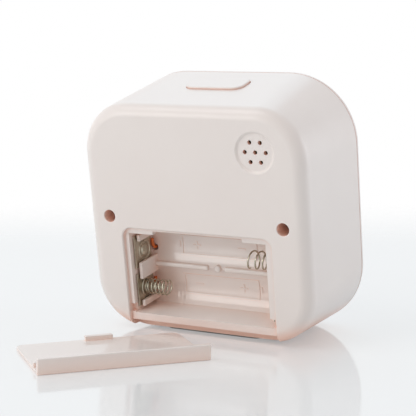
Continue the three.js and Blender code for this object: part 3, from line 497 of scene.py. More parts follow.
class NodeBench(NodeSet):
    """A material's nodes around one principled surface."""

    ramp_span = (0.35, 0.65)

    def __init__(self, name: str) -> None:
        """Start a material.

        Args:
            name: the material's name.
        """
        self.made = bpy.data.materials.new(name)
        self.made.use_nodes = True
        super().__init__(self.made.node_tree)
        self.output = self.add("ShaderNodeOutputMaterial")
        self.surface = self.add("ShaderNodeBsdfPrincipled")
        self.join(self.surface, "BSDF", self.output, "Surface")
        self.coordinates = self.add("ShaderNodeTexCoord")

    def noise(self, size: float, detail: float = 2.0, stretch: Point = (1.0, 1.0, 1.0)) -> Node:
        """Noise whose features are about a size in millimetres, stretched along the axes.

        Args:
            size: the size of a feature.
            detail: how much finer noise is laid over it.
            stretch: how much longer features are along X, Y and Z.

        Returns:
            The noise node.
        """
        mapping = self.add("ShaderNodeMapping", Scale=tuple(1 / s for s in stretch))
        noise = self.add("ShaderNodeTexNoise", Scale=1 / (size * MM), Detail=detail)
        self.join(self.coordinates, "Object", mapping, "Vector")
        self.join(mapping, "Vector", noise, "Vector")
        return noise

    def tint(self, fac: Node, out: Socket, first: Colour, second: Colour) -> Node:
        """Colour the surface between two colours by a factor.

        Args:
            fac: the node that gives the factor.
            out: the name of its output.
            first: the colour where the factor is low.
            second: the colour where it is high.

        Returns:
            The node that gives the colour.
        """
        ramp = self.add("ShaderNodeValToRGB")
        for stop, position, colour in zip(ramp.color_ramp.elements, self.ramp_span, (first, second)):
            stop.position = position
            stop.color = (*colour, 1)
        self.join(fac, out, ramp, "Fac")
        self.join(ramp, "Color", self.surface, "Base Color")
        return ramp

    def paint_enclosed_shade(self, colour: Node, deep: Colour, reach: float, low: float, high: float) -> None:
        """Paint shade into a colour where other surfaces stand close: a darker, warmer painted shade in
        recesses that stands in for that shade and for the light that the plastic lets through.

        Args:
            colour: the node that gives the open surface's colour.
            deep: the painted shade colour of enclosed places.
            reach: how far off a surface still counts, in millimetres.
            low: the openness at which the deep colour is reached.
            high: the openness at which the open colour is reached.
        """
        # painted shade: ambient occlusion drives a darker, warmer colour into recesses
        openness = self.add("ShaderNodeAmbientOcclusion", Distance=reach * MM)
        openness.samples = 8
        spread = self.add("ShaderNodeMapRange", From_Min=low, From_Max=high)
        mix = self.add("ShaderNodeMix")
        mix.data_type = "RGBA"
        self.join(openness, "AO", spread, "Value")
        self.join(spread, "Result", mix, "Factor")
        sockets = [socket for socket in mix.inputs if socket.type == "RGBA"]
        sockets[0].default_value = (*deep, 1)
        self.tree.links.new(colour.outputs["Color"], sockets[1])
        blended = next(socket for socket in mix.outputs if socket.type == "RGBA")
        self.tree.links.new(blended, self.surface.inputs["Base Color"])

    def gloss(self, fac: Node, out: Socket, low: float, high: float) -> None:
        """Let roughness run between two values by a factor.

        Args:
            fac: the node that gives the factor.
            out: the name of its output.
            low: the roughness where the factor is low.
            high: the roughness where it is high.
        """
        spread = self.add("ShaderNodeMapRange", To_Min=low, To_Max=high)
        self.join(fac, out, spread, "Value")
        self.join(spread, "Result", self.surface, "Roughness")

    def relief(self, fac: Node, out: Socket, depth: float, strength: float) -> None:
        """Raise a fine relief.

        Args:
            fac: the node that gives its height.
            out: the name of its output.
            depth: its depth in millimetres.
            strength: how strongly it shows.
        """
        bump = self.add("ShaderNodeBump", Strength=strength, Distance=depth * MM)
        self.join(fac, out, bump, "Height")
        self.join(bump, "Normal", self.surface, "Normal")

    def layer(self, under: Node, over: Node, share: Node) -> Node:
        """Lay one shader over another.

        Args:
            under: the shader below.
            over: the shader on top.
            share: the node that gives the share of the one on top.

        Returns:
            The node that mixes both.
        """
        mix = self.add("ShaderNodeMixShader")
        self.join(share, "Result", mix, "Fac")
        self.join(under, 0, mix, 1)
        self.join(over, 0, mix, 2)
        return mix


class Finish(ABC):
    """What a surface is made of. Its material is made once and shared."""

    name: str
    _made: dict[str, bpy.types.Material] = {}

    def material(self) -> bpy.types.Material:
        """The finish's material.

        Returns:
            The material, laid out at the first call.
        """
        if self.name not in Finish._made:
            bench = NodeBench(self.name)
            self.build(bench)
            Finish._made[self.name] = bench.made
        return Finish._made[self.name]

    @abstractmethod
    def build(self, bench: NodeBench) -> None:
        """Lay out the nodes.

        Args:
            bench: the material's nodes.
        """


@dataclass(frozen=True)
class MouldedPlastic(Finish):
    """Moulded plastic: faint flow marks in its colour and a fine grain from the mould."""

    name: str
    colour: Colour
    flow: Colour
    roughness: float = 0.4
    spread: float = 0.05
    grain: float = 0.3
    grain_depth: float = 0.01
    strength: float = 0.12
    flow_size: float = 26.0
    haze_size: float = 5.0
    ior: float = 1.5
    # painted shade: deep is a darker, warmer colour painted where ambient occlusion within reach finds
    # surfaces close by, full at shut and gone at wide
    deep: Colour | None = None
    reach: float = 14.0
    shut: float = 0.3
    wide: float = 0.95

    def build(self, bench: NodeBench) -> None:
        """Lay out flow marks, haze, grain and painted shade: a deeper colour painted into enclosed places.

        Args:
            bench: the material's nodes.
        """
        colour = bench.tint(bench.noise(self.flow_size, 3), "Fac", self.colour, self.flow)
        # painted shade: the colour darkens and warms where ambient occlusion finds surfaces close by
        if self.deep:
            bench.paint_enclosed_shade(colour, self.deep, self.reach, self.shut, self.wide)
        low, high = self.roughness - self.spread, self.roughness + self.spread
        bench.gloss(bench.noise(self.haze_size, 4), "Fac", low, high)
        bench.relief(bench.noise(self.grain, 3), "Fac", self.grain_depth, self.strength)
        bench.put(bench.surface, IOR=self.ior)


@dataclass(frozen=True)
class PlatedMetal(Finish):
    """Plated or bare metal with drawn streaks and a faint tarnish."""

    name: str
    colour: Colour
    tarnish: Colour
    roughness: float = 0.3
    spread: float = 0.1
    stretch: Point = (1.0, 1.0, 14.0)
    tarnish_size: float = 2.2
    streak: float = 0.18
    scratch_depth: float = 0.01

    def build(self, bench: NodeBench) -> None:
        """Lay out tarnish, streaks and fine scratches.

        Args:
            bench: the material's nodes.
        """
        bench.tint(bench.noise(self.tarnish_size, 4), "Fac", self.colour, self.tarnish)
        streaks = bench.noise(self.streak, 3, self.stretch)
        bench.gloss(streaks, "Fac", self.roughness - self.spread, self.roughness + self.spread)
        bench.relief(streaks, "Fac", self.scratch_depth, 0.2)
        bench.put(bench.surface, Metallic=1.0)


@dataclass(frozen=True)
class Rubber(Finish):
    """Soft rubber with a pebbled skin."""

    name: str
    colour: Colour
    worn: Colour
    dust: float = 6.0
    haze_size: float = 1.5
    pebble: float = 0.5
    pebble_depth: float = 0.05

    def build(self, bench: NodeBench) -> None:
        """Lay out a dusty tint and pebbles.

        Args:
            bench: the material's nodes.
        """
        bench.tint(bench.noise(self.dust, 4), "Fac", self.colour, self.worn)
        bench.gloss(bench.noise(self.haze_size, 2), "Fac", 0.7, 0.9)
        bench.relief(bench.noise(self.pebble, 2), "Fac", self.pebble_depth, 0.4)


@dataclass(frozen=True)
class ClearPane(Finish):
    """Clear plastic with a faint haze."""

    name: str
    tint_colour: Colour = (0.97, 0.985, 0.98)
    smudge: float = 9.0
    ripple: float = 30.0
    ripple_depth: float = 0.02
    ior: float = 1.49

    def build(self, bench: NodeBench) -> None:
        """Lay out a pane that light passes, with smudges in its gloss.

        Args:
            bench: the material's nodes.
        """
        bench.gloss(bench.noise(self.smudge, 4), "Fac", 0.02, 0.07)
        bench.relief(bench.noise(self.ripple, 1), "Fac", self.ripple_depth, 0.05)
        colour = (*self.tint_colour, 1)
        bench.put(bench.surface, Base_Color=colour, Transmission_Weight=1.0, IOR=self.ior)


@dataclass(frozen=True)
class Lacquer(Finish):
    """Board lacquer over copper tracks."""

    name: str
    colour: Colour
    track: Colour
    pitch: float = 2.0
    haze_size: float = 3.0
    track_depth: float = 0.03

    def build(self, bench: NodeBench) -> None:
        """Lay out tracks as a fine maze under a glossy lacquer.

        Args:
            bench: the material's nodes.
        """
        cells = bench.add("ShaderNodeTexVoronoi", Scale=1 / (self.pitch * MM))
        cells.distance = "MANHATTAN"
        bench.join(bench.coordinates, "Object", cells, "Vector")
        bench.tint(cells, "Distance", self.colour, self.track)
        bench.gloss(bench.noise(self.haze_size, 3), "Fac", 0.3, 0.5)
        bench.relief(cells, "Distance", self.track_depth, 0.3)


@dataclass(frozen=True)
class TableTop(Finish):
    """White polished table that fades into the background at its far edge."""

    name: str = "white_table"
    colour: Colour = (0.85, 0.88, 0.89)
    shade: Colour = (0.835, 0.865, 0.875)
    cloud: float = 90.0
    haze_size: float = 40.0
    mirror: float = 0.38
    mirror_roughness: float = 0.09
    glow: float = 0.3
    glow_colour: Colour = (0.98, 0.99, 1.0)
    glow_strength: float = 1.05
    fade_start: float = 0.16
    fade_end: float = 0.34

    def build(self, bench: NodeBench) -> None:
        """Lay out a glossy white with a clear fade along the table's own Y.

        Args:
            bench: the material's nodes.
        """
        bench.tint(bench.noise(self.cloud, 2), "Fac", self.colour, self.shade)
        bench.gloss(bench.noise(self.haze_size, 3), "Fac", 0.07, 0.11)
        parts = bench.add("ShaderNodeSeparateXYZ")
        bench.join(bench.coordinates, "Object", parts, "Vector")
        fade = bench.add("ShaderNodeMapRange", From_Min=self.fade_start, From_Max=self.fade_end)
        fade.interpolation_type = "SMOOTHSTEP"
        bench.join(parts, "Y", fade, "Value")
        path = bench.add("ShaderNodeLightPath")
        polish = bench.add("ShaderNodeBsdfAnisotropic", Roughness=self.mirror_roughness)
        light = bench.add("ShaderNodeEmission", Color=(*self.glow_colour, 1), Strength=self.glow_strength)
        top = bench.surface
        for layer, most in ((polish, self.mirror), (light, self.glow)):
            share = bench.add("ShaderNodeMapRange", To_Max=most)
            bench.join(path, "Is Camera Ray", share, "Value")
            top = bench.layer(top, layer, share)
        faded = bench.layer(top, bench.add("ShaderNodeBsdfTransparent"), fade)
        bench.join(faded, "Shader", bench.output, "Surface")


PALE_PINK = ((0.84, 0.772, 0.735), (0.83, 0.757, 0.72))
# Both pink finishes paint shade into enclosed places through their deep colour; the polished one, on the
# bay and the door, paints a lighter shade
PINK = MouldedPlastic("pale_pink_plastic", *PALE_PINK, 0.3, 0.03, deep=(0.93, 0.63, 0.52), wide=0.8)
POLISHED = MouldedPlastic(
    "polished_pink_plastic", *PALE_PINK, 0.1, 0.03, strength=0.03, deep=(0.97, 0.745, 0.65), wide=0.8
)
WHITE = MouldedPlastic("white_plastic", (0.88, 0.87, 0.85), (0.86, 0.85, 0.83), 0.42)
NICKEL = PlatedMetal("nickel", (0.54, 0.5, 0.41), (0.42, 0.38, 0.3), 0.3)
STEEL = PlatedMetal("steel", (0.56, 0.55, 0.53), (0.46, 0.44, 0.41), 0.34)
BRASS = PlatedMetal("brass", (0.7, 0.52, 0.24), (0.56, 0.4, 0.17), 0.34)
CERAMIC = MouldedPlastic("ceramic", (0.82, 0.8, 0.74), (0.78, 0.755, 0.69), 0.6)
BOARD = Lacquer("board", (0.06, 0.2, 0.11), (0.1, 0.3, 0.16))
RESIN = MouldedPlastic("black_resin", (0.02, 0.02, 0.022), (0.03, 0.03, 0.032), 0.3)
BLACK = MouldedPlastic("black_plastic", (0.035, 0.035, 0.037), (0.05, 0.05, 0.052), 0.5)
RUBBER = Rubber("grey_rubber", (0.3, 0.295, 0.29), (0.36, 0.35, 0.34))
ORANGE = MouldedPlastic("orange_lead", (0.72, 0.16, 0.03), (0.66, 0.13, 0.02), 0.38)
BLACK_LEAD = MouldedPlastic("black_lead", (0.03, 0.03, 0.032), (0.045, 0.045, 0.047), 0.42)
PANE = ClearPane("clear_window")
DISPLAY = MouldedPlastic("display_glass", (0.5, 0.55, 0.48), (0.47, 0.52, 0.45), 0.22)
INK = MouldedPlastic("display_ink", (0.03, 0.035, 0.035), (0.045, 0.05, 0.05), 0.3)
BORDER = MouldedPlastic("window_border", (0.84, 0.8, 0.775), (0.82, 0.78, 0.755), 0.35)
SPRING = PlatedMetal("spring_nickel", (0.6, 0.56, 0.46), (0.44, 0.4, 0.31), 0.24, 0.08, (1.0, 1.0, 1.0))


@dataclass(frozen=True)
class Lamp:
    """A square soft lamp that looks at the timer, in metres and watts."""

    name: str
    spot: Point
    size: float
    watts: float
    colour: Colour

    def hang(self) -> None:
        """Hang the lamp."""
        data = bpy.data.lights.new(self.name, "AREA")
        data.size = self.size
        data.energy = self.watts
        data.color = self.colour
        lamp = bpy.data.objects.new(self.name, data)
        lamp.location = self.spot
        aim = Vector(LAMP_AIM) - Vector(self.spot)
        lamp.rotation_euler = aim.to_track_quat("-Z", "Y").to_euler()
        bpy.context.scene.collection.objects.link(lamp)


LAMP_AIM = (0.0, 0.01, 0.04)
LAMPS = (
    Lamp("key_lamp", (0.53, 0.86, 0.27), 0.38, 1.5, (1.0, 0.99, 0.97)),
    Lamp("over_lamp", (0.42, 0.55, 0.98), 0.6, 2.9, (0.97, 0.985, 1.0)),
    Lamp("fill_lamp", (0.8, 0.8, 0.18), 0.8, 1.2, (1.0, 0.985, 0.96)),
    Lamp("side_lamp", (-0.85, -0.52, 0.22), 0.6, 2.6, (0.9, 0.94, 1.0)),
    Lamp("window_lamp", (0.45, -0.65, 0.9), 0.8, 1.5, (0.6, 0.86, 1.0)),
)


@dataclass
class Stage:
    """Table, light and camera."""

    eye: Point = (-214.19, 407.17, 107.49)
    yaw: float = 28.691
    pitch: float = 7.912
    roll: float = -0.102
    focal_pixels: float = 1287.8
    table_size: float = 1.4
    room: float = 0.72
    cool: Colour = (0.9, 0.95, 1.0)
    warm: Colour = (0.73, 0.675, 0.64)
    warm_side: Point = (-0.46, 0.88, 0.1)
    warm_start: float = -0.3

    def camera(self) -> None:
        """Set the camera at the photograph's place and angle."""
        yaw, pitch, roll = (math.radians(a) for a in (self.yaw, self.pitch, self.roll))
        flat = math.cos(pitch)
        ahead = Vector((math.sin(yaw) * flat, -math.cos(yaw) * flat, -math.sin(pitch)))
        level = ahead.cross(Vector((0, 0, 1))).normalized()
        upright = level.cross(ahead)
        right = level * math.cos(roll) + upright * math.sin(roll)
        up = upright * math.cos(roll) - level * math.sin(roll)
        data = bpy.data.cameras.new("camera")
        data.sensor_width = SENSOR
        data.lens = self.focal_pixels / PIXELS * SENSOR
        data.clip_start = 0.01
        camera = bpy.data.objects.new("camera", data)
        turn = Matrix((right, up, -ahead)).transposed().to_4x4()
        camera.matrix_world = Matrix.Translation(Vector(self.eye) * MM) @ turn
        bpy.context.scene.collection.objects.link(camera)
        bpy.context.scene.camera = camera

    def table(self) -> None:
        """Lay the table top, turned so that its far edge lies across the view."""
        bpy.ops.object.select_all(action="DESELECT")
        bpy.ops.mesh.primitive_plane_add(size=self.table_size)
        table = bpy.context.active_object
        table.name = "table_top"
        table.rotation_euler = (0, 0, math.radians(self.yaw) + math.pi)
        table.data.materials.append(TableTop().material())

    def light(self) -> None:
        """Light the room: a pale surround, white where it is seen, and soft lamps."""
        world = bpy.data.worlds.new("room")
        bpy.context.scene.world = world
        world.use_nodes = True
        room = NodeSet(world.node_tree)
        spot = room.add("ShaderNodeTexCoord")
        toward = room.add("ShaderNodeVectorMath")
        toward.operation = "DOT_PRODUCT"
        toward.inputs[1].default_value = self.warm_side
        spread = room.add("ShaderNodeMapRange", From_Min=self.warm_start)
        ramp = room.add("ShaderNodeValToRGB")
        for stop, colour in zip(ramp.color_ramp.elements, (self.cool, self.warm)):
            stop.color = (*colour, 1)
        lit = room.add("ShaderNodeBackground", Strength=self.room)
        seen = room.add("ShaderNodeBackground", Color=(1, 1, 1, 1))
        path = room.add("ShaderNodeLightPath")
        first, second = (room.add("ShaderNodeMath") for _ in range(2))
        first.operation = second.operation = "MAXIMUM"
        mix = room.add("ShaderNodeMixShader")
        links = [
            (spot, "Generated", toward, 0),
            (toward, "Value", spread, "Value"),
            (spread, "Result", ramp, "Fac"),
            (ramp, "Color", lit, "Color"),
            (path, "Is Camera Ray", first, 0),
            (path, "Is Glossy Ray", first, 1),
            (first, 0, second, 0),
            (path, "Is Transmission Ray", second, 1),
            (second, 0, mix, 0),
            (lit, 0, mix, 1),
            (seen, 0, mix, 2),
            (mix, 0, room.add("ShaderNodeOutputWorld"), 0),
        ]
        for link in links:
            room.join(*link)
        for lamp in LAMPS:
            lamp.hang()
        bpy.context.scene.view_settings.view_transform = "Standard"

    def build(self) -> None:
        """Set up everything that isn't part of the timer."""
        self.camera()
        self.table()
        self.light()


@dataclass(frozen=True)
class Shape:
    """Sizes of the leaning body that several pieces share, in millimetres."""

    face_width: float = 90.3
    face_height: float = 92.5
    face_corner: float = 24.5
    face_round: float = 1.5
    back_width: float = 86.0
    back_height: float = 82.7
    back_corner: float = 18.2
    back_round: float = 4.6
    taper_depth: float = 35.9
    lean: float = math.radians(8.5)
    wall: float = 2.2
    gap: float = 0.3
    running_gap: float = 0.35
    panel_rim: float = 0.6
    panel_wall: float = 2.2
    pad_proud: float = 0.85
    screw_span: float = 68.0
    screw_height: float = 44.3
    pillar: float = 8.0
    pillar_depth: float = 28.5
    screw_hole: float = 3.0
    bar_width: float = 22.0
    bar_depth: float = 11.0
    bar_corner: float = 3.5
    bar_forward: float = 4.901
    pad_width: float = 38.0
    pad_length: float = 26.0
    pad_thick: float = 1.6
    pad_corner: float = 3.0
    corner_steps: int = 24
    round_steps: int = 14

    @property
    def front_edge(self) -> float:
        """Depth at which the taper starts."""
        return -(self.taper_depth + self.back_round) / 2

    @property
    def round_start(self) -> float:
        """Depth at which the back edge starts to round."""
        return self.front_edge + self.taper_depth

    @property
    def back_face(self) -> float:
        """Depth of the flat back."""
        return self.round_start + self.back_round

    @property
    def back_inner(self) -> float:
        """Depth of the back wall's inner face."""
        return self.back_face - self.wall

    @property
    def face_front(self) -> float:
        """Depth of the flat face."""
        return self.front_edge - self.face_round

    @property
    def parting(self) -> float:
        """Depth at which the front panel ends."""
        return self.front_edge + self.panel_rim

    @property
    def panel_inner(self) -> float:
        """Depth of the front panel's inner face."""
        return self.face_front + self.panel_wall

    @property
    def pillar_end(self) -> float:
        """Depth at which the screw pillars meet the front panel's bosses."""
        return self.back_face - self.pillar_depth

    @property
    def screws(self) -> tuple[float, float]:
        """Places of the two housing screws across the body."""
        return (-self.screw_span / 2, self.screw_span / 2)

    def underside(self, depth: float) -> float:
        """Height of the underside at a depth."""
        return depth * math.tan(self.lean)

    def top(self, depth: float) -> float:
        """Height of the top.

        Args:
            depth: the depth at which it is taken.

        Returns:
            The height.
        """
        front = self.underside(self.front_edge) + self.face_height
        back = self.underside(self.round_start) + self.back_height
        return front + (back - front) * (depth - self.front_edge) / self.taper_depth

    def ring(self, depth: float, inset: float = 0.0) -> Ring:
        """The body's ring at a depth, drawn in by an inset.

        Args:
            depth: the depth.
            inset: how far the ring lies inside the outer skin.

        Returns:
            The ring.
        """
        station = min(max(depth, self.front_edge), self.round_start)
        share = (station - self.front_edge) / self.taper_depth
        half = (self.face_width + (self.back_width - self.face_width) * share) / 2
        corner = self.face_corner + (self.back_corner - self.face_corner) * share
        low, high = self.underside(station) + inset, self.top(station) - inset
        return Ring(half - inset, low, high, corner - inset, depth)

    def rounded(self, start: float, radius: float, inset: float, way: int) -> list[Ring]:
        """Rings that round an edge from a start depth.

        Args:
            start: the depth at which the rounding starts.
            radius: its radius.
            inset: how far inside the outer skin it starts.
            way: 1 towards the back, -1 towards the face.

        Returns:
            The rings, in the order of the rounding.
        """
        angles = [QUARTER * k / self.round_steps for k in range(1, self.round_steps + 1)]
        return [
            self.ring(start + way * radius * math.sin(a), inset + radius * (1 - math.cos(a)))
            for a in angles
        ]

    def leaning(self) -> Matrix:
        """The leaning body's place in the frame."""
        return Matrix.Translation((0, 0, self.pad_proud * MM)) @ Matrix.Rotation(-self.lean, 4, "X")

    def sloping(self) -> Matrix:
        """The sloping top's place in the leaning body.

        Returns:
            The place in millimetres, with -Y out of the top and Z to the back.
        """
        slope = math.atan2(self.top(self.front_edge) - self.top(self.round_start), self.taper_depth)
        turn = Matrix.Rotation(-(QUARTER + slope), 4, "X")
        return Matrix.Translation((0, -self.bar_forward, self.top(-self.bar_forward))) @ turn


def eased(edge: float, steps: int = 4) -> list[tuple[float, float]]:
    """Steps of a small quarter round.

    Args:
        edge: its radius.
        steps: how many steps it has.

    Returns:
        For each step, how far out of the edge's start and how far in from its side it lies.
    """
    angles = [QUARTER * k / steps for k in range(steps + 1)]
    return [(edge * math.sin(a), edge * (1 - math.cos(a))) for a in angles]


def plate(
    name: str, width: float, height: float, corner: float, y0: float, y1: float, edge: float = 0.0
) -> Piece:
    """A plate with round corners in X and Z, its front edge eased.

    Args:
        name: the piece's name.
        width: its width.
        height: its height.
        corner: the radius of its corners.
        y0: the depth of its front.
        y1: the depth of its back.
        edge: the rounding of its front edge.

    Returns:
        The plate.
    """
    fronts = eased(edge)[::-1] if edge else [(0.0, 0.0)]
    rings = [
        Ring(width / 2 - inset, inset - height / 2, height / 2 - inset, corner - inset, y0 + edge - out)
        for out, inset in fronts
    ]
    return loft(name, [*rings, Ring(width / 2, -height / 2, height / 2, corner, y1)], PLATE_STEPS)


def turned(name: str, profile: Sequence[tuple[float, float]], steps: int = 24) -> Piece:
    """A round solid about Y.

    Args:
        name: the piece's name.
        profile: a depth and a radius for each ring, the depths in order.
        steps: steps in a quarter of its round.

    Returns:
        The closed piece.
    """
    return loft(name, [Ring(reach, -reach, reach, reach - TINY, depth) for depth, reach in profile], steps)


@dataclass
class RearHousing:
    """The deep shell with the battery bay, door opening, sound holes and screw wells."""

    shape: Shape
    cell: float = 14.5
    cell_length: float = 50.5
    cell_pitch: float = 14.7
    lower_cell: float = 15.6
    cell_play: float = 3.3
    side_play: float = 0.1
    top_play: float = 1.9
    cell_to_door: float = 1.2
    cradle: float = 12.0
    bay_wall: float = 1.8
    ledge_side: float = 1.7
    ledge_top: float = 0.9
    door_recess: float = 1.5
    opening_corner: float = 3.5
    opening_ease: float = 0.5
    door_gap: float = 0.45
    door_thick: float = 1.2
    flange_depth: float = 5.5
    flange_room: float = 2.8
    latch_width: float = 9.8
    latch_rise: float = 1.6
    latch_set: float = 0.95
    nose: float = 0.9
    nose_thick: float = 0.6
    lug_rise: float = 6.0
    lug_height: float = 2.0
    lug_length: float = 1.5
    contact_thick: float = 0.4
    contact_depth: float = 10.9
    plate_reach: float = 5.75
    clip_thick: float = 1.2
    clip_height: float = 6.2
    clip_hold: float = 2.0
    clip_short: float = 1.3
    clip_edge: float = 0.22
    lip_length: float = 10.0
    lip_drop: float = 1.4
    lip_set: float = 0.02
    bridge_lip: float = 1.2
    ridge_thick: float = 1.8
    ridge_rise: float = 0.8
    ridge_edge: float = 0.6
    ridge_gap: tuple[float, float] = (-2.9, 3.6)
    boss: float = 2.6
    boss_offset: float = -0.2
    mark_length: float = 30.0
    mark_height: float = 7.0
    mark_line: float = 0.5
    mark_rise: float = 0.22
    mark_nub: float = 1.1
    mark_sign: float = 3.0
    well: float = 4.5
    well_depth: float = 18.0
    well_ease: float = 0.3
    well_seat: float = 0.05
    lead: float = 1.3
    lead_run: float = 4.0
    sound_offset: float = 25.3
    sound_height: float = 70.039
    dish: float = 13.6
    dish_depth: float = 0.7
    dish_edge: float = 0.6
    slope_steps: int = 8
    sound_hole: float = 1.5
    sound_spacing: float = 3.85
    sound_holes: int = 6
    sounder: float = 18.0
    sounder_room: float = 2.0
    sounder_ring: float = 1.2
    sounder_step: float = 1.0
    @property
    def ledge(self) -> float:
        """Depth of the ledge that the door lies on."""
        return self.shape.back_face - self.door_recess

    @property
    def cell_axis(self) -> float:
        """Depth of the cells' axes."""
        return self.ledge - self.cell_to_door - self.cell / 2

    @property
    def bay_deep(self) -> float:
        """Depth of the cradles' deepest line."""
        return self.cell_axis - self.cell / 2

    @property
    def upper_cell(self) -> float:
        """Height of the upper cell's axis."""
        return self.lower_cell + self.cell_pitch

    @property
    def bay_floor(self) -> float:
        """Height of the bay's floor."""
        return self.lower_cell - self.cell / 2 - self.side_play

    @property
    def bay_top(self) -> float:
        """Height of the bay's roof."""
        return self.upper_cell + self.cell / 2 + self.top_play

    @property
    def bay_middle(self) -> float:
        """Height of the ridge between the cells."""
        return self.lower_cell + self.cell_pitch / 2

    @property
    def opening_top(self) -> float:
        """Height of the door opening's top edge."""
        return self.bay_top + self.ledge_top

    @property
    def contact_face(self) -> float:
        """How far from the middle the contact plates' faces stand."""
        return (self.cell_length + self.cell_play) / 2

    @property
    def bay_end(self) -> float:
        """How far from the middle the bay's end walls stand."""
        return self.contact_face + self.contact_thick + self.shape.gap

    @property
    def opening_half(self) -> float:
        """Half the width of the door opening."""
        return self.bay_end + self.ledge_side

    @property
    def contact_deep(self) -> float:
        """Depth of the contact plates' deep edge."""
        return self.cradle_at(self.cell_pitch / 2) + self.shape.gap

    @property
    def contact_edge(self) -> float:
        """Depth of the contact plates' outer edge."""
        return self.contact_deep + self.contact_depth

    @property
    def upper_plate(self) -> tuple[float, float]:
        """Bottom and top of the upper contact plate."""
        return (self.bay_middle + self.clip_height / 2 - self.clip_hold, self.upper_cell + self.plate_reach)

    @property
    def lower_plate(self) -> tuple[float, float]:
        """Bottom and top of the lower contact plate."""
        return (self.lower_cell - self.plate_reach, self.bay_middle - self.clip_height / 2 + self.clip_hold)

    def cradle_at(self, offset: float) -> float:
        """Depth of the cradle at a height above or below a cell's axis."""
        return self.bay_deep + self.cradle - math.sqrt(self.cradle**2 - offset**2)

    def hollow(self) -> Piece:
        """The space inside the shell, less what is moulded to its walls.

        Returns:
            The cutter of that space.
        """
        shape = self.shape
        rings = [shape.ring(shape.parting, shape.wall), shape.ring(shape.round_start, shape.wall)]
        rings += shape.rounded(shape.round_start, shape.back_round - shape.wall, shape.wall, 1)
        space = loft("hollow", rings, shape.corner_steps)
        beyond = shape.back_face + PAST
        tub = self.bay_end + self.bay_wall
        tub_low = (-tub, self.bay_deep - self.bay_wall, self.bay_floor - self.bay_wall)
        combine(space, box("tub", tub_low, (tub, beyond, self.bay_top + self.bay_wall)), How.CUT)
        mouth = self.opening_half + self.bay_wall
        mouth_front = shape.back_face - self.flange_depth - self.door_gap - self.bay_wall
        mouth_low = (-mouth, mouth_front, shape.underside(mouth_front) - shape.wall)
        combine(space, box("mouth", mouth_low, (mouth, beyond, self.opening_top + self.bay_wall)), How.CUT)
        for x in shape.screws:
            pillar = rod("pillar", x, shape.screw_height, shape.pillar, shape.pillar_end, beyond)
            combine(space, pillar, How.CUT)
        seat = shape.back_inner - self.sounder_room
        bore = self.sounder + 2 * shape.gap
        start = seat - self.sounder_ring - 2 * shape.gap
        ring = rod("ring", 0, 0, bore + 2 * self.sounder_ring, start, beyond)
        combine(ring, rod("bore", 0, 0, bore, start - PAST, seat), How.CUT)
        clear = self.sounder - 2 * self.sounder_step
        combine(ring, rod("room", 0, 0, clear, start - PAST, shape.back_inner), How.CUT)
        return combine(space, carried(ring, self.sound_place(0)), How.CUT)

    def sound_place(self, depth: float) -> Matrix:
        """Where the sound holes' middle lies, at a depth."""
        return Matrix.Translation((-self.sound_offset, depth, self.sound_height))

    def bay(self) -> Piece:
        """The space that the two cells lie in, with a round cradle for each.

        Returns:
            The cutter of that space.
        """
        centre = self.bay_deep + self.cradle
        end = self.bay_end
        low = (-end, centre - TINY, self.bay_floor)
        space = box("bay", low, (end, self.ledge + PAST, self.bay_top))
        spans = [
            (self.lower_cell, self.bay_floor, self.bay_middle),
            (self.upper_cell, self.bay_middle, self.bay_top),
        ]
        for height, floor, roof in spans:
            half_round = barrel("cradle", self.cradle, 2 * end, centre, height)
            trim = box("trim", (-2 * end, self.bay_deep - self.cradle, floor), (2 * end, centre, roof))
            combine(half_round, trim, How.KEEP)
            combine(space, half_round, How.ADD)
        return space

    def opening(self) -> Piece:
        """The opening that the door fills, eased at the back face and open below.

        Returns:
            The cutter of the opening.
        """
        shape = self.shape
        start = shape.back_face - self.opening_ease
        low = shape.underside(self.ledge) - 4 * self.opening_corner
        stations = [(self.ledge, 0.0)]
        stations += [(start + out, wider) for out, wider in eased(self.opening_ease)]
        stations += [(shape.back_face + shape.wall, self.opening_ease)]
        half, top, corner = self.opening_half, self.opening_top, self.opening_corner
        rings = [Ring(half + wider, low, top + wider, corner + wider, y) for y, wider in stations]
        return loft("opening", rings)

    def flange_pocket(self) -> Piece:
        """The room under the bay that the door's flange fills, along the level underside.

        Returns:
            The cutter of that room.
        """
        shape = self.shape
        step = shape.back_face - self.flange_depth - self.door_gap
        beyond = shape.back_face + shape.wall
        half = self.opening_half
        floor = shape.underside(step)
        pocket = box("pocket", (-half, step, floor - shape.wall), (half, beyond, floor + self.flange_room))
        with editing(pocket):
            pick(pocket, Pick.VERTS, lambda vert: vert.co.y > beyond - TINY)
            rise = shape.underside(beyond) - shape.underside(step)
            bpy.ops.transform.translate(value=(0, 0, rise))
        return pocket

    def catches(self) -> list[Piece]:
        """The slots that the door's latch and lugs click into.

        Returns:
            A cutter for each slot.
        """
        shape = self.shape
        door_bottom = shape.underside(shape.back_face)
        half = self.latch_width / 2 + self.door_gap
        deep = shape.back_face - self.door_thick - self.latch_rise - shape.gap
        nose_back = deep + self.nose_thick + 2 * shape.gap
        nose_top = self.opening_top - self.door_gap - self.latch_set + self.nose + shape.gap
        slots = [box("latch_slot", (-half, deep, self.bay_top - PAST), (half, nose_back, nose_top))]
        lug_deep = shape.back_face - self.door_thick - self.lug_length - self.door_gap
        low = door_bottom + self.lug_rise - self.door_gap
        high = door_bottom + self.lug_rise + self.lug_height + self.door_gap
        for x0, x1 in ((self.bay_end - PAST, self.opening_half), (-self.opening_half, PAST - self.bay_end)):
            slots.append(box("lug_slot", (x0, lug_deep, low), (x1, self.ledge + PAST, high)))
        return slots

    def slope(self) -> list[tuple[float, float]]:
        """The soft slope of the dished round's edge.

        Returns:
            For each step, how deep it lies, and how far out on a scale from 1 to -1.
        """
        shares = [k / self.slope_steps for k in range(self.slope_steps + 1)]
        return [(self.dish_depth * (math.cos(math.pi * s) - 1) / 2, 1 - 2 * s) for s in shares]

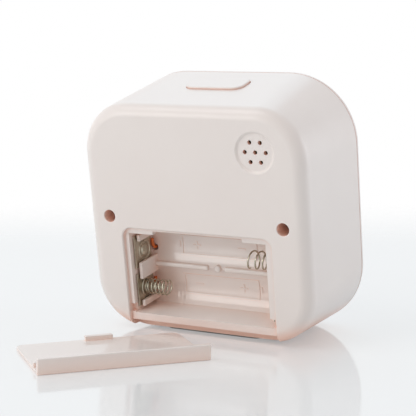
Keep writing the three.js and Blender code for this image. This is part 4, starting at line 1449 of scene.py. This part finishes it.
    def sound_cuts(self) -> list[Piece]:
        """The dished round and its holes.

        Returns:
            A cutter for each.
        """
        shape = self.shape
        steps = [(PAST, 1.0), *self.slope()]
        profile = [(out, self.dish / 2 + wider * self.dish_edge) for out, wider in steps]
        cuts = [carried(turned("dish", profile), self.sound_place(shape.back_face))]
        angles = [2 * math.pi * k / self.sound_holes for k in range(self.sound_holes)]
        spots = [(0.0, 0.0)] + [
            (self.sound_spacing * math.cos(a), self.sound_spacing * math.sin(a)) for a in angles
        ]
        for x, z in spots:
            start, end = shape.back_inner - PAST, shape.back_face + PAST
            spot = (x - self.sound_offset, z + self.sound_height)
            cuts.append(rod("sound_hole", *spot, self.sound_hole, start, end, 32))
        return cuts

    def screw_cuts(self) -> list[Piece]:
        """The wells of the housing screws and the holes below them.

        Returns:
            A cutter for each well.
        """
        shape = self.shape
        floor = shape.back_face - self.well_depth
        hole, well = shape.screw_hole / 2, self.well / 2
        profile = [(shape.pillar_end - PAST, hole), (floor - self.well_seat, hole), (floor, well)]
        rim = shape.back_face - self.well_ease
        profile += [(rim + out, well + wider) for out, wider in eased(self.well_ease)]
        profile += [(shape.back_face + PAST, well + self.well_ease)]
        spots = [Matrix.Translation((x, 0, shape.screw_height)) for x in shape.screws]
        return [carried(turned("well", profile, 16), spot) for spot in spots]

    def other_cuts(self) -> list[Piece]:
        """The lead holes, the top bar's hole and the recess of the base pad.

        Returns:
            A cutter for each.
        """
        shape = self.shape
        lead_x = self.bay_end - shape.gap - self.lead / 2
        bore = self.lead + 4 * shape.gap
        start = self.bay_deep - 2 * self.bay_wall
        cuts = []
        for cell in (self.lower_cell, self.upper_cell):
            height = cell - self.lead_run / 2
            cuts.append(rod("lead_hole", lead_x, height, bore, start, self.contact_deep, 32))
        gap = shape.running_gap
        size = (shape.bar_width + 2 * gap, shape.bar_depth + 2 * gap, shape.bar_corner + gap)
        hole = plate("bar_hole", *size, -PAST, shape.wall + PAST)
        cuts.append(carried(hole, shape.sloping()))
        gap = shape.gap
        size = (shape.pad_width + 2 * gap, shape.pad_length + 2 * gap, shape.pad_corner + gap)
        recess = plate("pad_recess", *size, -PAST, shape.pad_thick + gap)
        lift = Matrix.Translation((0, 0, shape.pad_proud)) @ Matrix.Rotation(-shape.lean, 4, "X")
        cuts.append(carried(recess, lift.inverted() @ Matrix.Rotation(QUARTER, 4, "X")))
        return cuts

    def clips(self) -> list[Piece]:
        """Clips that hold the contact plates at both ends of the bay.

        Returns:
            A piece for each clip.
        """
        gap = self.shape.gap
        back = self.bay_deep - self.bay_wall / 2
        front = self.contact_edge - self.clip_short
        face = self.contact_face - gap
        bands = [
            (self.lower_plate[0] - gap, self.lower_plate[0] + self.clip_hold),
            (self.bay_middle - self.clip_height / 2, self.bay_middle + self.clip_height / 2),
            (self.upper_plate[1] - self.clip_hold, self.upper_plate[1] + gap),
        ]
        made = []
        for z0, z1 in bands:
            for x0, x1 in ((face - self.clip_thick, face), (-face, self.clip_thick - face)):
                made.append(box("clip", (x0, back, z0), (x1, front, z1), self.clip_edge))
        return made

    def lips(self) -> list[Piece]:
        """Lips that close the upper corners of the bay's mouth, and one in front of the long plate.

        Returns:
            A piece for each lip.
        """
        gap = self.shape.gap
        root = self.bay_wall / 2
        end = self.bay_end
        front = self.contact_edge - gap
        made = []
        for x0, x1 in ((-end - root, self.lip_length - end), (end - self.lip_length, end + root)):
            low, high = (x0, front, self.bay_top - self.lip_drop), (x1, self.ledge, self.bay_top + root)
            made.append(box("lip", low, high, self.clip_edge))
        room = self.shape.underside(self.shape.back_face) + self.lug_rise + self.lug_height + self.door_gap
        low = (-end - root, self.contact_edge + gap, room)
        high = (self.bridge_lip - end, self.ledge - self.lip_set, self.bay_top)
        made.append(box("bridge_lip", low, high, self.clip_edge))
        return made

    def ridge(self) -> list[Piece]:
        """The ridge between the cells, with a gap that holds a round boss.

        Returns:
            The two halves of the ridge and the boss.
        """
        back = self.bay_deep - self.bay_wall / 2
        crest = self.cradle_at(self.cell_pitch / 2) + self.ridge_rise
        half = self.ridge_thick / 2
        stop = self.contact_face - self.shape.gap - self.clip_thick / 2
        made = []
        for x0, x1 in ((-stop, self.ridge_gap[0]), (self.ridge_gap[1], stop)):
            low, high = (x0, back, self.bay_middle - half), (x1, crest, self.bay_middle + half)
            made.append(box("ridge", low, high, self.ridge_edge))
        boss = rod("boss", self.boss_offset, self.bay_middle, self.boss, back, crest, 32)
        soften(boss, lambda edge: sharp(edge) and edge.verts[0].co.y > crest - TINY, self.ridge_edge)
        return [*made, boss]

    def signs(self, height: float, plus: int) -> list[Piece]:
        """Outline, plus and minus of one cell, as prisms that stand across its cradle.

        Args:
            height: the height of the cell's axis.
            plus: the end of the bay that its plus points to, 1 or -1.

        Returns:
            The prisms.
        """
        line = self.mark_line / 2
        y0, y1 = self.bay_deep - self.bay_wall / 2, self.bay_deep + self.bay_wall

        def bar(x: float, z: float, wide: float, tall: float) -> Piece:
            """A prism of a width and a height about a place."""
            return box("bar", (x - wide, y0, height + z - tall), (x + wide, y1, height + z + tall))

        half, tall = self.mark_length / 2, self.mark_height / 2
        bars = [bar(0, z, half + line, line) for z in (-tall, tall)]
        bars += [bar(x, 0, line, tall - line - TINY) for x in (-half, half)]
        nub = plus * (half + self.mark_nub)
        bars += [bar(nub, 0, line, self.mark_nub)]
        sign = self.mark_sign / 2
        spot = plus * (half - 2 * self.mark_sign)
        bars += [bar(x, 0, sign, line) for x in (-spot, spot)]
        arm = (sign + line) / 2
        bars += [bar(spot, z, line, (sign - line) / 2 - TINY) for z in (arm, -arm)]
        return bars

    def marks(self) -> list[Piece]:
        """The raised signs in the cradles that show which way round the cells go.

        Returns:
            A piece for each cradle.
        """
        centre = self.bay_deep + self.cradle
        made = []
        for height, plus in ((self.upper_cell, 1), (self.lower_cell, -1)):
            skin = barrel("skin", self.cradle + self.mark_rise, self.cell_length, centre, height)
            core = barrel("core", self.cradle - self.mark_rise, 2 * self.cell_length, centre, height)
            combine(skin, core, How.CUT)
            made.append(combine(skin, merged("signs", self.signs(height, plus)), How.KEEP))
        return made

    def build(self) -> Piece:
        """Model the housing and hand it over.

        Returns:
            The finished piece.
        """
        shape = self.shape
        rings = [shape.ring(shape.parting + shape.gap), shape.ring(shape.round_start)]
        rings += shape.rounded(shape.round_start, shape.back_round, 0, 1)
        shell = loft("rear_shell", rings, shape.corner_steps)
        combine(shell, self.hollow(), How.CUT)
        cuts = [self.bay(), self.opening(), self.flange_pocket(), *self.catches()]
        cuts += [*self.sound_cuts(), *self.screw_cuts(), *self.other_cuts()]
        for cut in cuts:
            combine(shell, cut, How.CUT)
        for part in [*self.clips(), *self.lips(), *self.ridge(), *self.marks()]:
            combine(shell, part, How.ADD)
        smooth(place(shell, shape.leaning()))
        deliver(shell, PINK, Body.CASE, ["rear_housing"])
        return self.polish(shell)

    def polish(self, shell: Piece) -> Piece:
        """Give the bay's inner faces the polish that the mould has there, and the polished finish's lighter
        painted shade.

        Args:
            shell: the housing, in its place.

        Returns:
            The housing.
        """
        shell.data.materials.append(POLISHED.material())
        back = (self.shape.leaning() @ Matrix.Scale(MM, 4)).inverted()
        reach = self.shape.gap
        for face in shell.data.polygons:
            spot = back @ face.center
            across = abs(spot.x) < self.bay_end + reach
            deep = self.bay_deep - reach < spot.y < self.ledge - reach
            if across and deep and self.bay_floor - reach < spot.z < self.bay_top + reach:
                face.material_index = 1
        return shell


def flared(name: str, width: float, height: float, corner: float, end: float, edge: float) -> Piece:
    """A cutter with round corners whose mouth at y = 0 is eased.

    Args:
        name: the piece's name.
        width: the width of the hole that it cuts.
        height: the height of the hole.
        corner: the radius of the hole's corners.
        end: the depth at which the cutter ends.
        edge: the rounding of the hole's mouth.

    Returns:
        The cutter.
    """
    mouth = [(edge - out, wider) for out, wider in reversed(eased(edge))]
    stations = [(-PAST, edge), *mouth, (end, 0.0)]
    rings = [
        Ring(width / 2 + wider, -height / 2 - wider, height / 2 + wider, corner + wider, depth)
        for depth, wider in stations
    ]
    return loft(name, rings, PLATE_STEPS)


@dataclass
class Button:
    """A push button on a line of its own: its cap faces -Y, with a flange and a stem behind it."""

    name: str
    width: float
    height: float
    corner: float
    flange: float
    flange_thick: float
    stem_end: float
    dish_depth: float = 0.0
    dish_shares: tuple[float, ...] = (0.3, 0.28, 0.22, 0.14, 0.06)
    wall: float = 2.2
    rise: float = 0.8
    edge: float = 0.4
    gap: float = 0.3
    stem: float = 3.4
    rim: float = 0.7
    dish_step: float = 0.4

    def model(self) -> Piece:
        """Model the button, with a finger dish in its cap.

        Returns:
            The button, in millimetres and on its own line.
        """
        front = self.wall + self.gap
        back = front + self.flange_thick
        cap = plate(self.name, self.width, self.height, self.corner, -self.rise, back, self.edge)
        with editing(cap):
            pick(cap, Pick.FACES, lambda face: face.normal.y < -0.99 and len(face.verts) > 8)
            bpy.ops.mesh.inset(thickness=self.rim, depth=0)
            for share in self.dish_shares:
                bpy.ops.mesh.inset(thickness=self.dish_step, depth=-share * self.dish_depth)
        wide = 2 * self.flange
        collar = (self.width + wide, self.height + wide, self.corner + self.flange)
        combine(cap, plate("collar", *collar, front, back), How.ADD)
        return combine(cap, rod("stem", 0, 0, self.stem, front, self.stem_end), How.ADD)


@dataclass
class Face:
    """The front panel with its display window, keys and the display behind the window."""

    shape: Shape
    tongue_length: float = 3.0
    tongue_wall: float = 1.2
    display_height: float = 58.974
    view: tuple[float, float] = (51.0, 27.0)
    window_lip: float = 2.6
    window_corner: float = 5.0
    window_thick: float = 1.2
    window_edge: float = 0.4
    rim_edge: float = 0.3
    border: float = 1.6
    border_thick: float = 0.08
    border_trim: float = 0.4
    border_corner: float = 1.6
    glass: tuple[float, float] = (54.0, 30.0)
    glass_thick: float = 2.0
    glass_edge: float = 0.12
    key_drop: float = 16.0
    key: tuple[float, float] = (14.0, 8.0)
    key_corner: float = 3.5
    key_pitch: float = 20.0
    key_flange: float = 1.2
    key_flange_thick: float = 0.9
    key_stem_end: float = 4.0
    key_dish: float = 0.35
    post: float = 5.0
    post_x: float = 25.9
    post_top: float = 78.874
    post_bottom: float = 18.574
    board_front: float = -13.05
    board_screw: float = 2.4
    post_hole: float = 3.3
    digit: tuple[float, float] = (8.6, 15.0)
    digit_step: float = 11.0
    digit_gap: float = 4.6
    stroke: float = 1.7
    stroke_gap: float = 0.3
    stroke_point: float = 0.46
    colon: float = 0.22
    ink: float = 0.05
    shown: str = "0500"

    @property
    def key_row(self) -> float:
        """Height of the row of keys."""
        return self.display_height - self.view[1] / 2 - self.window_lip - self.key_drop

    @property
    def glass_front(self) -> float:
        """Depth of the display glass's front."""
        return self.shape.panel_inner + self.shape.gap

    @property
    def window(self) -> tuple[float, float]:
        """Width and height of the window pane."""
        return (self.view[0] + 2 * self.window_lip, self.view[1] + 2 * self.window_lip)

    def at(self, x: float, z: float) -> Matrix:
        """A place on the flat face, in the leaning body and in millimetres."""
        return Matrix.Translation((x, self.shape.face_front, z))

    def key_places(self) -> list[tuple[Body, str, float]]:
        """The three keys.

        Returns:
            For each key its body, its solid and its place across the face.
        """
        return [
            (Body.LEFT_KEY, "key_left", -self.key_pitch),
            (Body.MIDDLE_KEY, "key_middle", 0.0),
            (Body.RIGHT_KEY, "key_right", self.key_pitch),
        ]

    def panel(self) -> Piece:
        """Model the shallow tray with its tongue, bosses, posts, window seat and key holes.

        Returns:
            The finished piece.
        """
        shape = self.shape
        gap = shape.gap
        rings = shape.rounded(shape.front_edge, shape.face_round, 0, -1)[::-1]
        rings += [shape.ring(shape.front_edge), shape.ring(shape.parting)]
        tray = loft("front_shell", rings, shape.corner_steps)
        root = shape.panel_inner - shape.panel_wall / 2
        inset = shape.wall + gap
        end = shape.parting + self.tongue_length
        tongue = [shape.ring(root, inset), shape.ring(end, inset)]
        combine(tray, loft("tongue", tongue, shape.corner_steps), How.ADD)
        inset += self.tongue_wall
        hollow = [shape.ring(shape.panel_inner, inset), shape.ring(end + PAST, inset)]
        combine(tray, loft("tray_hollow", hollow, shape.corner_steps), How.CUT)
        posts = [(x, z) for x in (-self.post_x, self.post_x) for z in (self.post_bottom, self.post_top)]
        for x in shape.screws:
            boss = rod("boss", x, shape.screw_height, shape.pillar, root, shape.pillar_end - gap)
            hole = rod("hole", x, shape.screw_height, shape.screw_hole, root + 1, shape.pillar_end)
            combine(boss, hole, How.CUT)
            combine(tray, boss, How.ADD)
        for x, z in posts:
            post = rod("post", x, z, self.post, root, self.board_front - gap)
            start = self.board_front - self.post_hole
            combine(post, rod("hole", x, z, self.board_screw, start, self.board_front), How.CUT)
            combine(tray, post, How.ADD)
        for cut in self.panel_cuts():
            combine(tray, cut, How.CUT)
        smooth(place(tray, shape.leaning()))
        return deliver(tray, PINK, Body.CASE, ["front_panel"])

    def panel_cuts(self) -> list[Piece]:
        """The window's seat, the view through it and the holes of the keys.

        Returns:
            A cutter for each.
        """
        shape = self.shape
        wide = 2 * shape.gap
        seat_size = (self.window[0] + wide, self.window[1] + wide, self.window_corner + shape.gap)
        seat = flared("seat", *seat_size, self.window_thick + shape.gap, self.rim_edge)
        through = shape.panel_wall + PAST
        corner = self.window_corner - self.window_lip
        view = plate("view", *self.view, corner, 0, through)
        middle = self.at(0, self.display_height)
        cuts = [carried(seat, middle), carried(view, middle)]
        wide = 2 * shape.running_gap
        size = (self.key[0] + wide, self.key[1] + wide, self.key_corner + shape.running_gap)
        for _, _, x in self.key_places():
            hole = flared("key_hole", *size, through, self.rim_edge)
            cuts.append(carried(hole, self.at(x, self.key_row)))
        return cuts

    def keys(self) -> None:
        """Model the three keys."""
        flange = (self.key_flange, self.key_flange_thick)
        sizes = (*self.key, self.key_corner, *flange, self.key_stem_end, self.key_dish)
        for body, node, x in self.key_places():
            key = Button(f"{node}_cap", *sizes).model()
            smooth(place(carried(key, self.at(x, self.key_row)), self.shape.leaning()))
            deliver(key, WHITE, body, [node])

    def pane(self) -> None:
        """Model the clear window and the border printed behind it."""
        shape = self.shape
        middle = self.at(0, self.display_height)
        size = (*self.window, self.window_corner)
        pane = plate("window_pane", *size, 0, self.window_thick, self.window_edge)
        smooth(place(carried(pane, middle), shape.leaning()))
        deliver(pane, PANE, Body.CASE, ["display_window"])
        start = self.window_thick + self.border_thick
        end = start + self.border_thick
        trim = self.border_trim
        size = (self.window[0] - trim, self.window[1] - trim, self.window_corner - trim / 2)
        border = plate("window_border", *size, start, end)
        hole = (self.view[0] - self.border, self.view[1] - self.border, self.border_corner)
        combine(border, plate("hole", *hole, start - PAST, end + PAST), How.CUT)
        smooth(place(carried(border, middle), shape.leaning()))
        deliver(border, BORDER, Body.CASE)

    def display(self) -> None:
        """Model the display glass and the numbers on it."""
        shape = self.shape
        half, tall = self.glass[0] / 2, self.glass[1] / 2
        z = self.display_height
        front = self.glass_front
        low, high = (-half, front, z - tall), (half, front + self.glass_thick, z + tall)
        glass = box("display_cell", low, high, self.glass_edge)
        smooth(place(glass, shape.leaning()))
        deliver(glass, DISPLAY, Body.CASE, ["lcd_glass"])
        strokes = []
        for k, number in enumerate(self.shown):
            step = k - (len(self.shown) - 1) / 2
            side = math.copysign(self.digit_gap / 2, step)
            strokes += self.number(number, step * self.digit_step + side, z)
        for rise in (-self.colon, self.colon):
            strokes.append(self.mark(0, z + rise * self.digit[1], self.stroke, self.stroke))
        numbers = merged("display_numbers", strokes)
        smooth(place(numbers, shape.leaning()))
        deliver(numbers, INK, Body.CASE)

    def mark(self, x: float, z: float, width: float, height: float) -> Piece:
        """One stroke of ink on the glass, pointed at its ends.

        Args:
            x: its middle across the face.
            z: its middle up the face.
            width: its width.
            height: its height.

        Returns:
            The stroke.
        """
        back = self.glass_front - self.ink / 2
        low = (x - width / 2, back - self.ink, z - height / 2)
        stroke = box("stroke", low, (x + width / 2, back, z + height / 2))
        reach = self.stroke_point * min(width, height)
        soften(stroke, lambda edge: abs(edge.verts[0].co.y - edge.verts[1].co.y) > TINY, reach, 1)
        return stroke

    def number(self, number: str, x: float, z: float) -> list[Piece]:
        """The strokes of one number.

        Args:
            number: the number, from 0 to 9.
            x: the middle of the number across the face.
            z: the middle of the number up the face.

        Returns:
            A piece for each stroke.
        """
        lit = {
            "0": "abcdef",
            "1": "bc",
            "2": "abged",
            "3": "abgcd",
            "4": "fgbc",
            "5": "afgcd",
            "6": "afgedc",
            "7": "abc",
            "8": "abcdefg",
            "9": "abcdfg",
        }[number]
        half, tall = (self.digit[0] - self.stroke) / 2, (self.digit[1] - self.stroke) / 2
        flat = (2 * half - self.stroke_gap, self.stroke)
        upright = (self.stroke, tall - self.stroke_gap)
        strokes = {
            "a": (0, tall, *flat),
            "b": (half, tall / 2, *upright),
            "c": (half, -tall / 2, *upright),
            "d": (0, -tall, *flat),
            "e": (-half, -tall / 2, *upright),
            "f": (-half, tall / 2, *upright),
            "g": (0, 0, *flat),
        }
        made = []
        for letter in lit:
            across, up, width, height = strokes[letter]
            made.append(self.mark(x + across, z + up, width, height))
        return made

    def build(self) -> None:
        """Model every piece of the face."""
        self.panel()
        self.pane()
        self.display()
        self.keys()


@dataclass
class TopBar:
    """The long button in the sloping top."""

    shape: Shape
    flange: float = 1.4
    flange_thick: float = 1.0
    stem_end: float = 4.4

    def build(self) -> Piece:
        """Model the button and set it square to the top.

        Returns:
            The finished piece.
        """
        shape = self.shape
        cap = (shape.bar_width, shape.bar_depth, shape.bar_corner)
        button = Button("top_bar_cap", *cap, self.flange, self.flange_thick, self.stem_end)
        bar = carried(button.model(), shape.sloping())
        smooth(place(bar, shape.leaning()))
        return deliver(bar, PINK, Body.TOP_BUTTON, ["top_bar"])


@dataclass
class BatteryDoor:
    """The door that lies on its outer face, with its flange standing up."""

    shape: Shape
    bay: RearHousing
    spot: Point = (1.7, 67.5, 0.0)
    turn: float = math.radians(-132.2)
    edge: float = 0.4
    inner_edge: float = 0.25
    flange_thick: float = 2.2
    lug_edge: float = 0.18
    latch_depth: float = 1.4

    def panel(self, half: float, height: float) -> Piece:
        """The flat plate, its edges eased on both sides.

        Args:
            half: half its width.
            height: its height.

        Returns:
            The plate, above the flange.
        """
        start = self.inner_edge - self.bay.door_thick
        stations = [(start - out, inset) for out, inset in reversed(eased(self.inner_edge))]
        stations += [(out - self.edge, inset) for out, inset in eased(self.edge)]
        corner = self.bay.opening_corner - self.bay.door_gap
        rings = [
            Ring(half - inset, -3 * corner, height - inset, corner - inset, y) for y, inset in stations
        ]
        panel = loft("door", rings)
        below = box("below", (-2 * half, -height, -height), (2 * half, height, self.flange_thick / 2))
        return combine(panel, below, How.CUT)

    def flange(self, half: float) -> Piece:
        """The flange along the door's foot, sloped like the timer's underside.

        Args:
            half: half its width.

        Returns:
            The flange.
        """
        depth = self.bay.flange_depth
        flange = box("flange", (-half, -depth, 0), (half, 0, self.flange_thick))
        with editing(flange):
            pick(flange, Pick.VERTS, lambda vert: vert.co.y < TINY - depth)
            bpy.ops.transform.translate(value=(0, 0, self.shape.underside(-depth)))
        soften(flange, lambda _: True, self.edge, 4)
        return flange

    def build(self) -> Piece:
        """Model the door and lay it on the table.

        Returns:
            The finished piece.
        """
        bay = self.bay
        half = bay.opening_half - bay.door_gap
        height = bay.opening_top - bay.door_gap - self.shape.underside(self.shape.back_face)
        door = self.panel(half, height)
        combine(door, self.flange(half), How.ADD)
        inside = -bay.door_thick
        root = inside / 2
        inner = bay.bay_end + self.shape.gap
        for x0, x1 in ((inner, half), (-half, -inner)):
            low = (x0, inside - bay.lug_length, bay.lug_rise)
            lug = box("lug", low, (x1, root, bay.lug_rise + bay.lug_height), self.lug_edge)
            combine(door, lug, How.ADD)
        wide = bay.latch_width / 2
        hook = inside - bay.latch_rise
        top = height - bay.latch_set
        foot = top - self.latch_depth
        low = (-wide, hook, foot)
        latch = box("latch", low, (wide, root, top), self.lug_edge)
        nose = box("nose", low, (wide, hook + bay.nose_thick, top + bay.nose), self.lug_edge)
        combine(door, combine(latch, nose, How.ADD), How.ADD)
        spot = Matrix.Translation(Vector(self.spot) * MM)
        lying = spot @ Matrix.Rotation(self.turn, 4, "Z") @ Matrix.Rotation(-QUARTER, 4, "X")
        smooth(place(door, lying))
        return deliver(door, POLISHED, Body.DOOR, ["battery_door"])


@dataclass(frozen=True)
class Coil:
    """A coil spring: the solid that it stands for, its end of the bay (1 or -1) and its sizes."""

    node: str
    side: int
    diameter: float
    pitch: float
    turns: float


@dataclass
class Contacts:
    """The contact plates at both ends of the battery bay, with their dimples and springs."""

    shape: Shape
    bay: RearHousing
    sheet_edge: float = 0.12
    dimple: float = 5.0
    dimple_rise: float = 1.0
    ring: float = 7.0
    ring_rise: float = 0.28
    drop: float = 0.9
    wire: float = 0.6
    wire_sides: int = 14
    closed_pitch: float = 0.62
    turn_steps: int = 40
    negative: Coil = Coil("spring_negative", 1, 5.8, 1.55, 5.0)
    bridge: Coil = Coil("spring_bridge", -1, 6.8, 2.8, 3.5)

    def sheet(self, name: str, side: int, bottom: float, top: float) -> Piece:
        """A plate with eased edges at one end of the bay.

        Args:
            name: the piece's name.
            side: 1 or -1, the end of the bay.
            bottom: its lower edge.
            top: its upper edge.

        Returns:
            The plate.
        """
        bay = self.bay
        x = sorted((side * bay.contact_face, side * (bay.contact_face + bay.contact_thick)))
        low, high = (x[0], bay.contact_deep, bottom), (x[1], bay.contact_edge, top)
        return box(name, low, high, self.sheet_edge)

    def stamp(self, sheet: Piece, side: int, height: float, dimple: bool) -> None:
        """Press a ring into a plate, and a dimple inside it.

        Args:
            sheet: the plate.
            side: the end of the bay that it stands at.
            height: the height of the ring's middle.
            dimple: whether there is a dimple.
        """
        bay = self.bay
        sunk = bay.contact_thick / 2
        outside = side * (bay.contact_face + sunk)
        spot = (outside, bay.cell_axis, height)
        bpy.ops.object.select_all(action="DESELECT")
        bpy.ops.mesh.primitive_torus_add(
            major_segments=64,
            minor_segments=16,
            major_radius=self.ring / 2,
            minor_radius=self.ring_rise + sunk,
            location=spot,
            rotation=(0, QUARTER, 0),
        )
        ring = settled("stamped_ring")
        reach = outside + side * self.ring
        far = self.shape.face_width
        wide = (min(outside, reach), -far, -far), (max(outside, reach), far, far)
        combine(ring, box("half", *wide), How.CUT)
        combine(sheet, ring, How.ADD)
        if dimple:
            bpy.ops.object.select_all(action="DESELECT")
            bpy.ops.mesh.primitive_uv_sphere_add(
                segments=48, ring_count=24, radius=1, location=spot, rotation=(0, QUARTER, 0)
            )
            bump = settled("dimple", (self.dimple / 2, self.dimple / 2, self.dimple_rise + sunk))
            combine(bump, box("half", *wide), How.CUT)
            combine(sheet, bump, How.ADD)

    def coil(self, radius: float, turns: float, pitch: float, way: int) -> Piece:
        """A helix about X that starts above the axis.

        Args:
            radius: the radius of its centre line.
            turns: how many turns it has.
            pitch: how far it goes along X in each turn.
            way: 1 or -1, the way that it turns.

        Returns:
            The open helix.
        """
        bpy.ops.object.select_all(action="DESELECT")
        bpy.ops.mesh.primitive_circle_add(
            vertices=self.wire_sides,
            radius=self.wire / 2,
            location=(0, 0, radius),
            rotation=(QUARTER, 0, 0),
        )
        helix = settled("helix")
        bpy.ops.object.modifier_add(type="SCREW")
        screw = helix.modifiers[-1]
        screw.axis = "X"
        screw.angle = way * 2 * math.pi * turns
        screw.screw_offset = pitch * turns
        screw.steps = screw.render_steps = round(self.turn_steps * turns)
        bpy.ops.object.modifier_apply(modifier=screw.name)
        return helix

    def spring(self, coil: Coil, height: float) -> Piece:
        """Model a spring, with a closed turn at its foot.

        Args:
            coil: its sizes.
            height: the height of its axis.

        Returns:
            The finished piece.
        """
        radius = (coil.diameter - self.wire) / 2
        opened = self.coil(radius, coil.turns, -coil.side * coil.pitch, -1)
        closed = self.coil(radius, 1, coil.side * self.closed_pitch, 1)
        spring = merged(f"{coil.node}_coil", [opened, closed])
        with editing(spring):
            bpy.ops.mesh.select_all(action="SELECT")
            bpy.ops.mesh.remove_doubles(threshold=TINY)
            bpy.ops.mesh.fill_holes(sides=0)
            bpy.ops.mesh.select_all(action="SELECT")
            bpy.ops.mesh.normals_make_consistent(inside=False)
        foot = self.bay.contact_face - self.shape.gap - self.closed_pitch - self.wire / 2
        carried(spring, Matrix.Translation((coil.side * foot, self.bay.cell_axis, height)))
        smooth(place(spring, self.shape.leaning()), ROUND_DEGREES)
        return deliver(spring, SPRING, Body.CASE, [coil.node])

    def build(self) -> None:
        """Model the three plates and the two springs."""
        bay = self.bay
        upper = bay.upper_cell - self.drop
        lower = bay.lower_cell
        plates = [
            ("contact_positive", 1, *bay.upper_plate, [(upper, True)]),
            ("contact_negative", 1, *bay.lower_plate, [(lower, False)]),
            ("contact_bridge", -1, bay.lower_plate[0], bay.upper_plate[1], [(upper, False), (lower, True)]),
        ]
        for node, side, bottom, top, stamps in plates:
            sheet = self.sheet(f"{node}_plate", side, bottom, top)
            for height, dimple in stamps:
                self.stamp(sheet, side, height, dimple)
            smooth(place(sheet, self.shape.leaning()))
            deliver(sheet, NICKEL, Body.CASE, [node])
        self.spring(self.negative, lower)
        self.spring(self.bridge, upper)


@dataclass
class HousingScrews:
    """The two screws at the bottom of their wells."""

    shape: Shape
    bay: RearHousing
    head: float = 3.8
    head_height: float = 1.5
    shank: float = 2.4
    length: float = 18.0
    round_edge: float = 0.5
    slot: float = 0.65
    slot_reach: float = 1.25
    slot_depth: float = 0.9

    def build(self) -> None:
        """Model each screw with a cross in its head."""
        seat = self.shape.back_face - self.bay.well_depth + self.shape.gap
        for side, x in zip(("right", "left"), self.shape.screws):
            z = self.shape.screw_height
            crown = seat + self.head_height
            screw = rod(f"housing_screw_{side}_head", x, z, self.head, seat, crown, 48)
            soften(screw, lambda edge: sharp(edge) and edge.verts[0].co.y > crown - TINY, self.round_edge)
            for across, up in ((self.slot_reach, self.slot / 2), (self.slot / 2, self.slot_reach)):
                low = (x - across, crown - self.slot_depth, z - up)
                combine(screw, box("slot", low, (x + across, crown + PAST, z + up)), How.CUT)
            shank = rod("shank", x, z, self.shank, seat - self.length, seat + self.slot / 2, 32)
            combine(screw, shank, How.ADD)
            smooth(place(screw, self.shape.leaning()))
            deliver(screw, STEEL, Body.CASE, [f"housing_screw_{side}"])


@dataclass
class Foot:
    """The rubber pad under the base."""

    shape: Shape
    edge: float = 0.35
    groove: float = 1.2
    groove_depth: float = 0.3
    groove_margin: float = 3.0
    grooves: int = 4

    def build(self) -> Piece:
        """Model the pad with grooves across its lower face.

        Returns:
            The finished piece.
        """
        shape = self.shape
        size = (shape.pad_width, shape.pad_length, shape.pad_corner)
        pad = plate("base_pad_foot", *size, 0, shape.pad_thick, self.edge)
        step = shape.pad_length / (self.grooves + 1)
        half, wide = shape.pad_width / 2 - self.groove_margin, self.groove / 2
        for k in range(1, self.grooves + 1):
            z = k * step - shape.pad_length / 2
            cut = box("groove", (-half, -PAST, z - wide), (half, self.groove_depth, z + wide))
            combine(pad, cut, How.CUT)
        smooth(place(pad, Matrix.Rotation(QUARTER, 4, "X")))
        return deliver(pad, RUBBER, Body.CASE, ["base_pad"])


def soft_leads() -> None:
    """Round off the leads of the frame with a finer skin."""
    leads = {
        "lead_negative": (ORANGE, "orange_lead"),
        "lead_positive": (ORANGE, "orange_lead"),
        "lead_sounder_inner": (ORANGE, "orange_lead"),
        "lead_sounder_outer": (BLACK_LEAD, "black_lead"),
        "lead_switch_left": (BLACK_LEAD, "black_lead"),
        "lead_switch_right": (BLACK_LEAD, "black_lead"),
    }
    for node, (finish, slot) in leads.items():
        lead = copied(node, f"{node}_sleeve")
        with editing(lead):
            bpy.ops.mesh.select_all(action="SELECT")
            bpy.ops.mesh.subdivide(number_cuts=1)
        only(lead)
        bpy.ops.object.modifier_add(type="SUBSURF")
        lead.modifiers[-1].levels = 1
        bpy.ops.object.modifier_apply(modifier=lead.modifiers[-1].name)
        smooth(lead, ROUND_DEGREES)
        deliver(lead, finish, Body.CASE, [node])


def dress_solids() -> None:
    """Give each solid of the frame that still shows a finish of its own slot."""
    finishes = {
        "pale_pink_plastic": PINK,
        "white_plastic": WHITE,
        "clear_window": PANE,
        "display_glass": DISPLAY,
        "nickel": NICKEL,
        "steel": STEEL,
        "brass": BRASS,
        "ceramic": CERAMIC,
        "board": BOARD,
        "black_resin": RESIN,
        "black_plastic": BLACK,
        "grey_rubber": RUBBER,
        "orange_lead": ORANGE,
        "black_lead": BLACK_LEAD,
    }
    for row in frame["record"]["subparts"]:
        node = frame["nodes"][row["node"]]
        node.data.materials.clear()
        node.data.materials.append(finishes[row["material_slot"]].material())


def main() -> None:
    """Build the stage and the timer's pieces."""
    logging.basicConfig(level=logging.INFO, format="%(name)s: %(message)s")
    Stage().build()
    dress_solids()
    shape = Shape()
    bay = RearHousing(shape)
    bay.build()
    Face(shape).build()
    TopBar(shape).build()
    BatteryDoor(shape, bay).build()
    Contacts(shape, bay).build()
    HousingScrews(shape, bay).build()
    Foot(shape).build()
    soft_leads()


if __name__ == "__main__":
    main()
